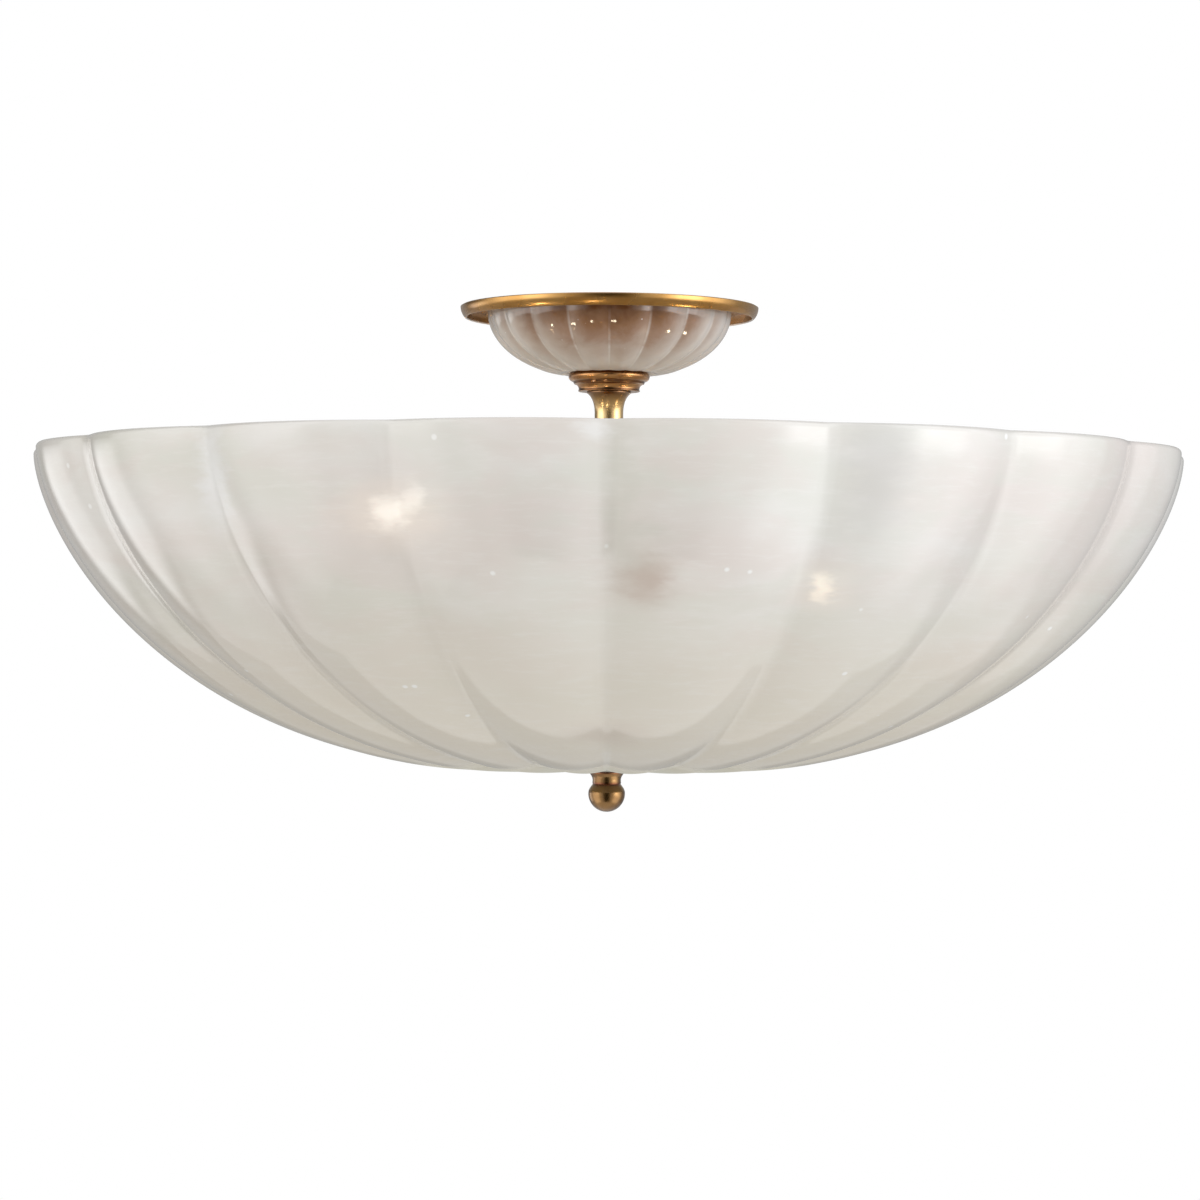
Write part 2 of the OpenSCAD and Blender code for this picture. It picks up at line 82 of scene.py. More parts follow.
def add_node(
    tree: bpy.types.NodeTree,
    kind: str,
    inputs: dict[int | str, object] | None = None,
    output: int | str = 0,
    **settings: object,
) -> Socket | None:
    """Adds a node with its settings, and sets or links its inputs.

    Args:
        tree: the node tree that gets the node.
        kind: the node's type, without the ShaderNode that each begins with.
        inputs: a value or another node's output for each input, by its name or number.
        output: the output that is wanted.
        settings: the node's own properties.

    Returns:
        That output, or None where the node has none.
    """
    node = tree.nodes.new(f"ShaderNode{kind}")
    for key, value in settings.items():
        setattr(node, key, value)
    for key, value in (inputs or {}).items():
        if isinstance(value, Socket):
            tree.links.new(value, node.inputs[key])
        else:
            node.inputs[key].default_value = value
    return node.outputs[output] if node.outputs else None


@dataclass(frozen=True)
class Patch:
    """A grid of points that becomes faces: rows along one way and columns round the other."""

    points: np.ndarray
    rows_close: bool = False
    columns_close: bool = True

    def moved(self, turn: np.ndarray, shift: np.ndarray) -> "Patch":
        """The same patch, turned by a matrix and then shifted."""
        return Patch(self.points @ turn.T + shift, self.rows_close, self.columns_close)


def build(
    name: str,
    patches: list[Patch],
    sharp_angle: float = 40,
    marks: np.ndarray | None = None,
) -> bpy.types.Object:
    """Makes one object from grids of points, with its doubles merged and its faces outwards.

    Args:
        name: the object's name.
        patches: the grids.
        sharp_angle: edges that bend more than this many degrees are drawn sharp.
        marks: a value for each point, kept as an attribute.

    Returns:
        The new object, at the origin.
    """
    points, quads, start = [], [], 0
    for patch in patches:
        rows, columns = patch.points.shape[:2]
        index = start + np.arange(rows * columns).reshape(rows, columns)
        if patch.rows_close:
            index = np.vstack([index, index[:1]])
        if patch.columns_close:
            index = np.hstack([index, index[:, :1]])
        corners = [index[:-1, :-1], index[:-1, 1:], index[1:, 1:], index[1:, :-1]]
        quads.append(np.stack(corners, axis=-1).reshape(-1, 4))
        points.append(patch.points.reshape(-1, 3))
        start += rows * columns
    mesh = bpy.data.meshes.new(name)
    mesh.from_pydata(np.concatenate(points), [], np.concatenate(quads).tolist())
    if marks is not None:
        layer = mesh.attributes.new(MARKS, "FLOAT", "POINT")
        layer.data.foreach_set("value", marks.astype(np.float32).ravel())
    shape = bmesh.new()
    shape.from_mesh(mesh)
    bmesh.ops.remove_doubles(shape, verts=shape.verts, dist=1e-7)
    bmesh.ops.recalc_face_normals(shape, faces=shape.faces)
    shape.to_mesh(mesh)
    shape.free()
    mesh.polygons.foreach_set("use_smooth", np.ones(len(mesh.polygons), bool))
    mesh.set_sharp_from_angle(angle=math.radians(sharp_angle))
    piece = bpy.data.objects.new(name, mesh)
    bpy.context.scene.collection.objects.link(piece)
    return piece


def finish_piece(
    piece: bpy.types.Object,
    body: str,
    material: bpy.types.Material,
    nodes: tuple[str, ...] = (),
) -> bpy.types.Object:
    """Gives a new piece its material and its body, and hides the CAD nodes that it stands for.

    Args:
        piece: the new object.
        body: the body that carries it.
        material: its finish.
        nodes: the CAD nodes that it replaces.

    Returns:
        The same object.
    """
    piece.data.materials.append(material)
    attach(piece, body)
    if nodes:
        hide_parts(*nodes)
    log.info("%s: %d faces on %s", piece.name, len(piece.data.polygons), body)
    return piece


def dress(material: bpy.types.Material, *names: str) -> None:
    """Puts a finish on CAD nodes that keep their own shape.

    Args:
        material: the finish.
        names: the nodes.
    """
    for name in names:
        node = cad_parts[name]
        if not node.material_slots:
            node.data.materials.append(material)
        for slot in node.material_slots:
            slot.material = material
        log.info("%s: keeps its own shape", name)


def span(node: str) -> Triple:
    """Outer radius along X, lowest height and highest height of a CAD node."""
    low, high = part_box(node)
    return (high.x - low.x) / 2, low.z, high.z


class Outline:
    """A profile in the plane through an axis, as radius and height, drawn stretch by stretch."""

    def __init__(self, r: float, z: float) -> None:
        """Starts the profile at a radius and a height."""
        self.stretches = [np.array([[r, z]])]

    def to(self, r: float, z: float) -> "Outline":
        """Goes straight to a point."""
        self.stretches.append(np.array([[r, z]]))
        return self

    def arc(self, r: float, z: float, radius: float, start: float, end: float, steps: int = 12) -> "Outline":
        """Goes round a centre, by angles in degrees from the radius direction.

        Args:
            r: the centre's radius.
            z: the centre's height.
            radius: the arc's radius.
            start: the first angle.
            end: the last angle.
            steps: the number of chords.

        Returns:
            This outline.
        """
        angle = np.radians(np.linspace(start, end, steps + 1))
        self.stretches.append(np.stack([r + radius * np.cos(angle), z + radius * np.sin(angle)], axis=1))
        return self

    def curve(self, first: tuple, second: tuple, end: tuple, steps: int = 14) -> "Outline":
        """Goes along a cubic curve, with two points that steer it.

        Args:
            first: the point that steers its start.
            second: the point that steers its end.
            end: its end.
            steps: the number of chords.

        Returns:
            This outline.
        """
        t = np.linspace(0, 1, steps + 1)[1:, None]
        s = 1 - t
        p = self.stretches[-1][-1]
        curve = s**3 * p + 3 * s**2 * t * np.array(first) + 3 * s * t**2 * np.array(second)
        self.stretches.append(curve + t**3 * np.array(end))
        return self

    def points(self) -> np.ndarray:
        """All the points, one row each."""
        return np.concatenate(self.stretches)

    def turned(self, closed: bool, segments: int = 144) -> Patch:
        """The surface that the profile makes round the axis."""
        return turned(self.points(), closed, segments)


def turned(profile: np.ndarray, closed: bool, segments: int = 144) -> Patch:
    """Turns a profile round the axis: a point is (r cos a, r sin a, z).

    Args:
        profile: rows of radius and height.
        closed: whether the profile is a loop, as on a ring, or runs from axis to axis.
        segments: the number of columns.

    Returns:
        The surface.
    """
    angle = np.arange(segments) * FULL_TURN / segments
    r, z = profile[:, :1], profile[:, 1:]
    points = np.stack([r * np.cos(angle), r * np.sin(angle), z + 0 * angle], axis=-1)
    return Patch(points, rows_close=closed)


def hex_nut(bore: float, low: float, high: float, segments: int = 72) -> Patch:
    """A chamfered hex nut: at each height its radius is the hexagon's or the chamfer cone's, the smaller.

    Args:
        bore: radius of the bore.
        low: height of the lower face.
        high: height of the upper face.
        segments: the number of columns, a multiple of 12.

    Returns:
        The surface.
    """
    angle = np.arange(segments) * FULL_TURN / segments
    half = NUT_FLATS / 2
    hexagon = half / np.cos(np.mod(angle, FULL_TURN / 6) - FULL_TURN / 12)
    face = NUT_FACE * half
    rise = (half / math.cos(FULL_TURN / 12) - face) * math.tan(NUT_CHAMFER)
    edge = NUT_BEVEL * (high - low)
    steps = np.linspace(0, rise, 7)
    heights = np.concatenate([low + steps, high - steps[::-1]])
    cone = face + np.concatenate([steps, steps[::-1]]) / math.tan(NUT_CHAMFER)
    wall = np.minimum(cone[:, None], hexagon)
    inner = np.array([[bore + edge, high], [bore, high - edge], [bore, low + edge], [bore + edge, low]])
    radii = np.vstack([wall, np.repeat(inner[:, :1], segments, axis=1)])
    z = np.concatenate([heights, inner[:, 1]])[:, None] + 0 * angle
    return Patch(np.stack([radii * np.cos(angle), radii * np.sin(angle), z], axis=-1), rows_close=True)


def threaded_tube(
    radius: float, bore: float, depth: float, pitch: float, low: float, high: float, sides: int = 24,
) -> list[Patch]:
    """A tube with a screw thread: its rows climb one pitch a turn, and go crest, flank, root, flank.

    The thread climbs past both ends and is flattened onto them.

    Args:
        radius: radius of the crests.
        bore: radius of the bore.
        depth: depth of the roots.
        pitch: rise of one turn.
        low: height of the lower end.
        high: height of the upper end.
        sides: the number of columns in a turn.

    Returns:
        The thread, and the sleeve that closes the ends and lines the bore.
    """
    dips = np.array([0.0, 0.15, 1.0, 0.85])
    turns = math.ceil((high - low) / pitch) + 1
    rows = np.arange(turns * len(dips) + 1)
    angle = np.arange(sides + 1) * FULL_TURN / sides
    z = low - pitch + (rows[:, None] / len(dips) + angle / FULL_TURN) * pitch
    ends = (z <= low) | (z >= high)
    r = radius - depth * np.where(ends, 1.0, dips[rows % len(dips)][:, None])
    points = np.stack([r * np.cos(angle), r * np.sin(angle), np.clip(z, low, high)], axis=-1)
    root = radius - depth
    sleeve = np.array([[root, high], [bore, high], [bore, low], [root, low]])
    return [Patch(points, columns_close=False), turned(sleeve, False, sides)]


def wire(path: np.ndarray, across: Triple, radius: float, sides: int = 6) -> Patch:
    """A round wire along a path: a ring of points stands square to it at each of its points.

    Args:
        path: the points of its middle line.
        across: a direction that is never along the path.
        radius: the wire's radius.
        sides: the number of columns.

    Returns:
        The surface, with both ends drawn in to a point.
    """
    along = np.gradient(path, axis=0)
    along /= np.linalg.norm(along, axis=1, keepdims=True)
    side = np.cross(along, np.array(across))
    side /= np.linalg.norm(side, axis=1, keepdims=True)
    up = np.cross(side, along)
    angle = np.arange(sides) * FULL_TURN / sides
    ring = side[:, None] * np.cos(angle)[:, None] + up[:, None] * np.sin(angle)[:, None]
    ends = [np.repeat(path[k][None, None], sides, axis=1) for k in (0, -1)]
    return Patch(np.concatenate([ends[0], path[:, None] + radius * ring, ends[1]]))


@dataclass(frozen=True)
class LobedForm:
    """A bowl of lobes that meet in creases.

    The crease runs down a flattened curve: its height under the rim is
    height * (1 - (r / rim)^floor_power)^(1 / side_root), and a dimple lifts it round the middle.
    Each lobe stands out of its two creases as an arch that grows with the radius.
    """

    rim_radius: float
    rim_depth: float
    height: float
    floor_power: float
    side_root: float
    lobe_height: float
    seat_radius: float
    dimple_radius: float
    dimple_height: float
    hole_radius: float
    wall: float
    lip_rise: float
    lobes: int = 18
    crease_azimuth: float = -90.0
    fillet: float = 0.07
    lobe_columns: int = 20
    hole_rows: int = 5
    floor_rows: int = 9
    side_rows: int = 56
    lip_rows: int = 9
    slope_steps: int = 500

    @staticmethod
    def smooth(t: np.ndarray) -> np.ndarray:
        """A smooth step from 0 to 1."""
        c = np.clip(t, 0, 1)
        return c * c * (3 - 2 * c)

    def crease(self, r: np.ndarray) -> np.ndarray:
        """Works out the crease, which is flat inside the seat.

        Args:
            r: radii.

        Returns:
            Its height at each of them.
        """
        r = np.maximum(r, self.seat_radius)
        share = np.minimum(1, r / self.rim_radius) ** self.floor_power
        dimple = 1 - self.smooth((r - self.seat_radius) / (self.dimple_radius - self.seat_radius))
        drop = self.height * (1 - share) ** (1 / self.side_root)
        return -self.rim_depth - drop + self.dimple_height * dimple

    def outward(self, r: np.ndarray) -> np.ndarray:
        """Works out which way is out of the glass, square to the crease's profile.

        Args:
            r: radii.

        Returns:
            A direction at each of them, as radius and height, level at the rim.
        """
        step = np.minimum(self.rim_radius / self.slope_steps, (self.rim_radius - r) / 2)
        rise = self.crease(r + step) - self.crease(r - step)
        direction = np.stack([rise, -2 * step], axis=-1)
        direction = np.where(step[:, None] > 0, direction, [1.0, 0.0])
        return direction / np.linalg.norm(direction, axis=-1, keepdims=True)

    def arch(self, t: np.ndarray) -> np.ndarray:
        """Works out a lobe's arch: 1 - t^2, rounded near the crease.

        Args:
            t: place across the lobe, 0 at its top and 1 at a crease.

        Returns:
            Its height at each place, as a share of the lobe's.
        """
        d = self.fillet
        near = d + (1 - d) / d * (1 - t) ** 2
        return np.where(t > 1 - d, near, 1 - t * t)

    def skin(
        self, radii: np.ndarray, across: np.ndarray, azimuth: np.ndarray, depth: np.ndarray,
    ) -> np.ndarray:
        """Works out points of the glass at a depth under its outer skin.

        Args:
            radii: the crease's radius for each row.
            across: place across the lobe for each column, 0 at its top and 1 at a crease.
            azimuth: the angle of each column, in radians.
            depth: how far under the outer skin each row lies.

        Returns:
            A grid of points.
        """
        grow = radii / self.rim_radius * self.smooth((radii - self.seat_radius) / self.seat_radius)
        out = (self.lobe_height * grow)[:, None] * self.arch(across) - depth[:, None]
        direction = self.outward(radii)
        r = radii[:, None] + direction[:, :1] * out
        z = self.crease(radii)[:, None] + direction[:, 1:] * out
        return np.stack([r * np.cos(azimuth), r * np.sin(azimuth), z], axis=-1)

    def shell(self, name: str) -> bpy.types.Object:
        """Makes the closed glass: up its outer skin, over the lip, down its inner skin and through the hole.

        Args:
            name: the object's name.

        Returns:
            The object, with the place across the lobes kept as its attribute.
        """
        count = self.lobes * self.lobe_columns
        share = np.arange(count) % self.lobe_columns / self.lobe_columns
        across = np.abs(2 * share - 1)
        azimuth = math.radians(self.crease_azimuth) + np.arange(count) * FULL_TURN / count
        start = math.asin(self.dimple_radius / self.rim_radius)
        radii = np.concatenate([
            np.linspace(self.hole_radius, self.seat_radius, self.hole_rows)[:-1],
            np.linspace(self.seat_radius, self.dimple_radius, self.floor_rows)[:-1],
            self.rim_radius * np.sin(np.linspace(start, math.pi / 2, self.side_rows)),
        ])
        lip = np.linspace(0, math.pi, self.lip_rows + 2)[1:-1]
        rim = np.full(self.lip_rows, self.rim_radius)
        rows = np.concatenate([radii, rim, radii[::-1]])
        depth = np.concatenate([0 * radii, self.wall / 2 * (1 - np.cos(lip)), 0 * radii + self.wall])
        points = self.skin(rows, across, azimuth, depth)
        lift = np.concatenate([0 * radii, self.lip_rise * np.sin(lip), 0 * radii])
        points[..., 2] += lift[:, None]
        marks = np.broadcast_to(across, points.shape[:2])
        return build(name, [Patch(points, rows_close=True)], sharp_angle=50, marks=marks)


@dataclass(frozen=True)
class Surface:
    """A finish. Each kind of finish says how its shader is built."""

    name: str

    def shader(self, add: partial) -> Socket:
        """Builds the shader.

        Args:
            add: add_node bound to the material's tree.

        Returns:
            The shader.
        """
        raise NotImplementedError

    def material(self) -> bpy.types.Material:
        """Builds the material.

        Returns:
            The material.
        """
        material = bpy.data.materials.new(self.name)
        material.use_nodes = True
        material.node_tree.nodes.clear()
        add = partial(add_node, material.node_tree)
        add("OutputMaterial", {0: self.shader(add)})
        return material


@dataclass(frozen=True)
class AgedBrass(Surface):
    """Turned brass, hand-rubbed, left to age and lacquered: rubbed places stay bright, and bands at given
    heights are painted brown.

    The lathe leaves fine rings, which the eye sees as a soft stretch of every highlight, and the
    lacquer adds a thin pale gloss. Each brown band is a height and how far its brown reaches; in a
    groove it is patina with painted shade, and over a smooth face it is a painted dark reflection.
    Faces that look inwards get a pale colour, if one is given, as a painted reflection. The rings'
    real pitch is too fine to show, so they are drawn as coarse as they need.
    """

    bright: str
    dark: str
    rubbed: float = 0.5
    contrast: float = 0.3
    roughness: float = 0.27
    blotch: float = 9 * MM
    coat: float = 0.5
    patina_and_shade_bands: tuple[tuple[float, float], ...] = ()
    patina_and_shade_brown: str = "#51300f"
    painted_inner_reflection: str = ""
    painted_inner_reflection_edge: float = 2 * MM
    ring_pitch: float = 0.35 * MM
    ring_depth: float = 0.05 * MM
    ring_tone: float = 0.1

    def shader(self, add: partial) -> Socket:
        """Builds the shader: rings, blotches, painted brown bands and the painted inner reflection.

        Args:
            add: add_node bound to the material's tree.

        Returns:
            The shader.
        """
        place = add("TexCoord", output="Object")
        flat = add("VectorMath", {0: place, 1: (1, 1, 0)}, operation="MULTIPLY")
        radius = add("VectorMath", {0: flat}, "Value", operation="LENGTH")
        height = add("SeparateXYZ", {0: place}, "Z")
        rings = add("TexNoise", {
            "Vector": add("CombineXYZ", {"X": radius, "Z": height}),
            "Scale": 1 / self.ring_pitch, "Detail": 2.0, "Roughness": 0.6,
        })
        blotches = add("TexNoise", {
            "Vector": place, "Scale": 1 / self.blotch, "Detail": 3.0, "Roughness": 0.5, "Distortion": 0.4,
        })
        wear = add("MapRange", {
            "Value": blotches, "From Min": 0.32, "From Max": 0.68,
            "To Min": self.rubbed - self.contrast, "To Max": self.rubbed + self.contrast,
        }, interpolation_type="SMOOTHSTEP")
        ringed = add("Math", {0: rings, 1: self.ring_tone, 2: wear}, operation="MULTIPLY_ADD")
        share = add("Math", {0: ringed, 1: self.ring_tone / 2}, operation="SUBTRACT", use_clamp=True)
        colour = add("Mix", {0: share, 6: linear(self.dark), 7: linear(self.bright)}, 2, data_type="RGBA")
        # Painted brown bands: patina with painted shade in grooves, and a painted dark reflection on the
        # stem's flare.
        for level, reach in self.patina_and_shade_bands:
            above = add("Math", {0: height, 1: level}, operation="SUBTRACT")
            brown = add("MapRange", {
                "Value": add("Math", {0: above}, operation="ABSOLUTE"),
                "From Max": reach, "To Min": 0.9, "To Max": 0.0,
            }, interpolation_type="SMOOTHSTEP")
            colour = add("Mix", {0: brown, 6: colour, 7: linear(self.patina_and_shade_brown)}, 2, data_type="RGBA")
        # Painted reflection: faces that look inwards get a pale colour.
        if self.painted_inner_reflection:
            normal = add("NewGeometry", output="Normal")
            outwards = add("VectorMath", {0: normal, 1: flat}, "Value", operation="DOT_PRODUCT")
            inside = add("Math", {0: outwards, 1: self.painted_inner_reflection_edge}, operation="LESS_THAN")
            colour = add("Mix", {0: inside, 6: colour, 7: linear(self.painted_inner_reflection)}, 2, data_type="RGBA")
        return add("BsdfPrincipled", {
            "Base Color": colour, "Metallic": 1.0,
            "Roughness": add("MapRange", {
                "Value": share, "To Min": self.roughness + 0.05, "To Max": self.roughness - 0.03,
            }),
            "Normal": add("Bump", {"Height": rings, "Strength": 0.05, "Distance": self.ring_depth}),
            "Coat Weight": self.coat, "Coat Roughness": 0.1,
        })


@dataclass(frozen=True)
class PlatedSteel(Surface):
    """Rolled or cut steel with a thin plated coat: an even grey with small cloudy spangles."""

    light: str
    dark: str
    roughness: float = 0.38
    spangle: float = 6 * MM
    grain_depth: float = 0.05 * MM

    def shader(self, add: partial) -> Socket:
        """Builds the shader: spangles and a fine grain.

        Args:
            add: add_node bound to the material's tree.

        Returns:
            The shader.
        """
        place = add("TexCoord", output="Object")
        cells = add("TexVoronoi", {
            "Vector": place, "Scale": 1 / self.spangle,
        }, "Distance", feature="SMOOTH_F1")
        grain = add("TexNoise", {"Vector": place, "Scale": 4 / self.spangle, "Detail": 4.0})
        share = add("Math", {0: cells, 1: grain}, operation="MULTIPLY", use_clamp=True)
        return add("BsdfPrincipled", {
            "Base Color": add("Mix", {
                0: share, 6: linear(self.light), 7: linear(self.dark),
            }, 2, data_type="RGBA"),
            "Metallic": 1.0,
            "Roughness": add("MapRange", {
                "Value": grain, "To Min": self.roughness - 0.08, "To Max": self.roughness + 0.1,
            }),
            "Normal": add("Bump", {"Height": grain, "Strength": 0.2, "Distance": self.grain_depth}),
        })


@dataclass(frozen=True)
class MouldedFinish(Surface):
    """A moulded or fired non-metal: rubber, vinyl, porcelain or lacquer, with a faint mottle."""

    light: str
    dark: str
    roughness: float
    mottle: float
    grain_depth: float = 0.02 * MM

    def shader(self, add: partial) -> Socket:
        """Builds the shader: a mottle that tints, roughens and lifts the skin.

        Args:
            add: add_node bound to the material's tree.

        Returns:
            The shader.
        """
        place = add("TexCoord", output="Object")
        mottle = add("TexNoise", {"Vector": place, "Scale": 1 / self.mottle, "Detail": 4.0})
        share = add("MapRange", {"Value": mottle, "From Min": 0.35, "From Max": 0.65})
        return add("BsdfPrincipled", {
            "Base Color": add("Mix", {
                0: share, 6: linear(self.dark), 7: linear(self.light),
            }, 2, data_type="RGBA"),
            "Roughness": add("MapRange", {
                "Value": mottle, "To Min": self.roughness - 0.05, "To Max": self.roughness + 0.08,
            }),
            "Normal": add("Bump", {"Height": mottle, "Strength": 0.3, "Distance": self.grain_depth}),
        })


@dataclass(frozen=True)
class Spot:
    """A painted patch in the glass of the bowl, for glows, shades and highlights alike: where it is, how far
    it spreads, and its colour.
    """

    centre: Triple
    spread: Triple
    strength: float
    colour: str

    def share(self, add: partial, place: Socket) -> Socket:
        """Works out how much of the spot there is: full at its centre, none at its egg-shaped edge.

        Args:
            add: add_node bound to the material's tree.
            place: the coordinates.

        Returns:
            The share at each point.
        """
        away = add("VectorMath", {0: place, 1: self.centre}, operation="SUBTRACT")
        scaled = add("VectorMath", {0: away, 1: self.spread}, operation="DIVIDE")
        return add("MapRange", {
            "Value": add("VectorMath", {0: scaled}, "Value", operation="LENGTH"),
            "From Max": 1.0, "To Min": self.strength, "To Max": 0.0,
        }, interpolation_type="SMOOTHERSTEP")


@dataclass(frozen=True)
class BlownGlass(Surface):
    """What both glasses share: small seeds, and painted highlights along the creases."""

    seed_gap: float
    seed_rarity: float
    roughness: float
    seed_white: str = "#fdfcf9"

    def seeds(self, add: partial, place: Socket, colour: Socket) -> Socket:
        """Adds small trapped bubbles: a few of the cells of a Voronoi pattern get a white speck.

        Args:
            add: add_node bound to the material's tree.
            place: the object's coordinates.
            colour: the colour so far.

        Returns:
            The colour with the specks.
        """
        cells = add("TexVoronoi", {"Vector": place, "Scale": 1 / self.seed_gap}).node.outputs
        chosen = add("Math", {0: cells["Color"], 1: self.seed_rarity}, operation="GREATER_THAN")
        near = add("MapRange", {
            "Value": cells["Distance"], "From Min": 0.04, "From Max": 0.1, "To Min": 0.9, "To Max": 0.0,
        }, interpolation_type="SMOOTHSTEP")
        share = add("Math", {0: chosen, 1: near}, operation="MULTIPLY")
        return add("Mix", {0: share, 6: colour, 7: linear(self.seed_white)}, 2, data_type="RGBA")

    @staticmethod
    def painted_crease_highlights(
        add: partial, colour: Socket, pale: str, strength: Socket, reach: tuple[float, float],
    ) -> Socket:
        """Paints pale highlights along the creases, as the mesh marks them.

        Args:
            add: add_node bound to the material's tree.
            colour: the colour so far.
            pale: the colour of the painted highlight.
            strength: how much of it there is at each point.
            reach: the places across a lobe where it begins and is full.

        Returns:
            The colour with the painted crease highlights.
        """
        # Painted highlight along the creases.
        line = add("MapRange", {
            "Value": add("Attribute", output="Fac", attribute_name=MARKS),
            "From Min": reach[0], "From Max": reach[1], "To Max": strength,
        }, interpolation_type="SMOOTHSTEP")
        return add("Mix", {0: line, 6: colour, 7: linear(pale)}, 2, data_type="RGBA")


@dataclass(frozen=True)
class MilkGlass(BlownGlass):
    """Hand-blown milk glass with a fire-polished skin.

    The gather was rolled sideways while it was blown, so fine level streaks run through soft clouds
    of white, green-grey and pink, with a few small seeds. Its colour is painted darker and warmer
    low down, as painted shade, and pale highlights are painted along the low creases. Painted glows
    stand for the lit lamps behind it, and painted spots for the hub's and the stem's shadows and for
    other shades and highlights. The skin is glossy, but its foot is ground and stays matt, and the
    glass round it is painted pale.
    """

    name: str = "milk_glass"
    seed_gap: float = 19 * MM
    seed_rarity: float = 0.55
    roughness: float = 0.08
    white: str = "#eeebe6"
    grey_green: str = "#e3e2d8"
    pink: str = "#e7ddd6"
    # Painted shade: the colour grows darker and warmer between these heights.
    painted_low_shade: str = "#ebe1ce"
    painted_low_shade_heights: tuple[float, float] = (-120 * MM, -240 * MM)
    streak_white: str = "#f7f5f1"
    # Painted highlight on the creases near the bottom, between these heights.
    crease_highlight_white: str = "#fffefa"
    crease_highlight_heights: tuple[float, float] = (-228 * MM, -238 * MM)
    cloud: float = 120 * MM
    wisp: float = 40 * MM
    streak_gap: float = 2.6 * MM
    tear_gap: float = 9 * MM
    tear: Triple = (22 * MM, 22 * MM, 9 * MM)
    wave_height: float = 0.8 * MM
    ground: float = 0.6
    ground_radii: tuple[float, float] = (94 * MM, 110 * MM)
    # Painted glows of lit lamps, as emission.
    glows: tuple[Spot, ...] = ()
    # Painted spots of shade and highlight.
    painted_spots: tuple[Spot, ...] = ()

    def shader(self, add: partial) -> Socket:
        """Builds the shader: clouds, streaks, seeds, painted crease highlights, painted spots of shade and
        highlight, painted lamp glows, and the matt foot.

        Args:
            add: add_node bound to the material's tree.

        Returns:
            The shader.
        """
        place = add("TexCoord", output="Object")
        height = add("SeparateXYZ", {0: place}, "Z")
        colour = self.streaks(add, place, self.clouds(add, place, height))
        colour = self.seeds(add, place, colour)
        # Painted highlights along the creases near the bottom.
        low = add("MapRange", {
            "Value": height, "From Min": self.crease_highlight_heights[0],
            "From Max": self.crease_highlight_heights[1], "To Max": 0.3,
        }, interpolation_type="SMOOTHSTEP")
        colour = self.painted_crease_highlights(add, colour, self.crease_highlight_white, low, (0.86, 0.97))
        torn = self.torn(add, place)
        # Painted spots of shade and highlight.
        for shade in self.painted_spots:
            share = shade.share(add, torn)
            colour = add("Mix", {0: share, 6: colour, 7: linear(shade.colour)}, 2, data_type="RGBA")
        # Painted glows of the lit lamps, as emission.
        light = add("CombineXYZ")
        for glow in self.glows:
            patch = add("VectorMath", {
                0: linear(glow.colour)[:3], "Scale": glow.share(add, torn),
            }, operation="SCALE")
            light = add("VectorMath", {0: light, 1: patch}, operation="ADD")
        wave = add("TexNoise", {"Vector": place, "Scale": 1 / self.wisp, "Detail": 1.0})
        flat = add("VectorMath", {0: place, 1: (1, 1, 0)}, operation="MULTIPLY")
        from_foot = {
            "Value": add("VectorMath", {0: flat}, "Value", operation="LENGTH"),
            "From Min": self.ground_radii[0], "From Max": self.ground_radii[1],
        }
        return add("BsdfPrincipled", {
            "Base Color": colour, "IOR": 1.54, "Emission Color": light, "Emission Strength": 1.0,
            "Roughness": add("MapRange", {**from_foot, "To Min": self.ground, "To Max": self.roughness}),
            "Specular IOR Level": add("MapRange", {**from_foot, "To Max": 0.5}),
            "Normal": add("Bump", {"Height": wave, "Strength": 0.35, "Distance": self.wave_height}),
        })

    def clouds(self, add: partial, place: Socket, height: Socket) -> Socket:
        """Makes soft level clouds of white, green-grey and pink, with painted shade that darkens and warms
        them towards the bottom.

        Args:
            add: add_node bound to the material's tree.
            place: the object's coordinates.
            height: the height among them.

        Returns:
            The colour.
        """
        colour = linear(self.white)
        for size, other, shift, strength in (
            (self.cloud, self.grey_green, (0.0, 0.0, 0.0), 1.0),
            (self.cloud, self.pink, (0.31, 0.17, 0.53), 0.8),
            (self.wisp, self.grey_green, (0.7, 0.1, 0.2), 0.55),
            (self.wisp, self.pink, (0.2, 0.6, 0.9), 0.55),
        ):
            level = add("Mapping", {"Vector": place, "Location": shift, "Scale": (0.6, 0.6, 1.5)})
            noise = add("TexNoise", {
                "Vector": level, "Scale": 1 / size, "Detail": 3.0, "Roughness": 0.55, "Distortion": 0.6,
            })
            share = add("MapRange", {
                "Value": noise, "From Min": 0.42, "From Max": 0.68, "To Max": strength,
            }, interpolation_type="SMOOTHSTEP")
            colour = add("Mix", {0: share, 6: colour, 7: linear(other)}, 2, data_type="RGBA")
        # Painted shade: darker and warmer towards the bottom.
        low = add("MapRange", {
            "Value": height, "From Min": self.painted_low_shade_heights[0],
            "From Max": self.painted_low_shade_heights[1], "To Max": 0.8,
        }, interpolation_type="SMOOTHSTEP")
        return add("Mix", {0: low, 6: colour, 7: linear(self.painted_low_shade)}, 2, data_type="RGBA")

    def streaks(self, add: partial, place: Socket, colour: Socket) -> Socket:
        """Adds fine level streaks.

        Args:
            add: add_node bound to the material's tree.
            place: the object's coordinates.
            colour: the colour so far.

        Returns:
            The colour with the streaks.
        """
        streaks = add("TexNoise", {
            "Vector": add("Mapping", {"Vector": place, "Scale": (0.15, 0.15, 1.0)}),
            "Scale": 1 / self.streak_gap, "Detail": 3.0, "Roughness": 0.7,
        })
        share = add("MapRange", {"Value": streaks, "From Min": 0.5, "From Max": 0.85, "To Max": 0.3})
        return add("Mix", {0: share, 6: colour, 7: linear(self.streak_white)}, 2, data_type="RGBA")

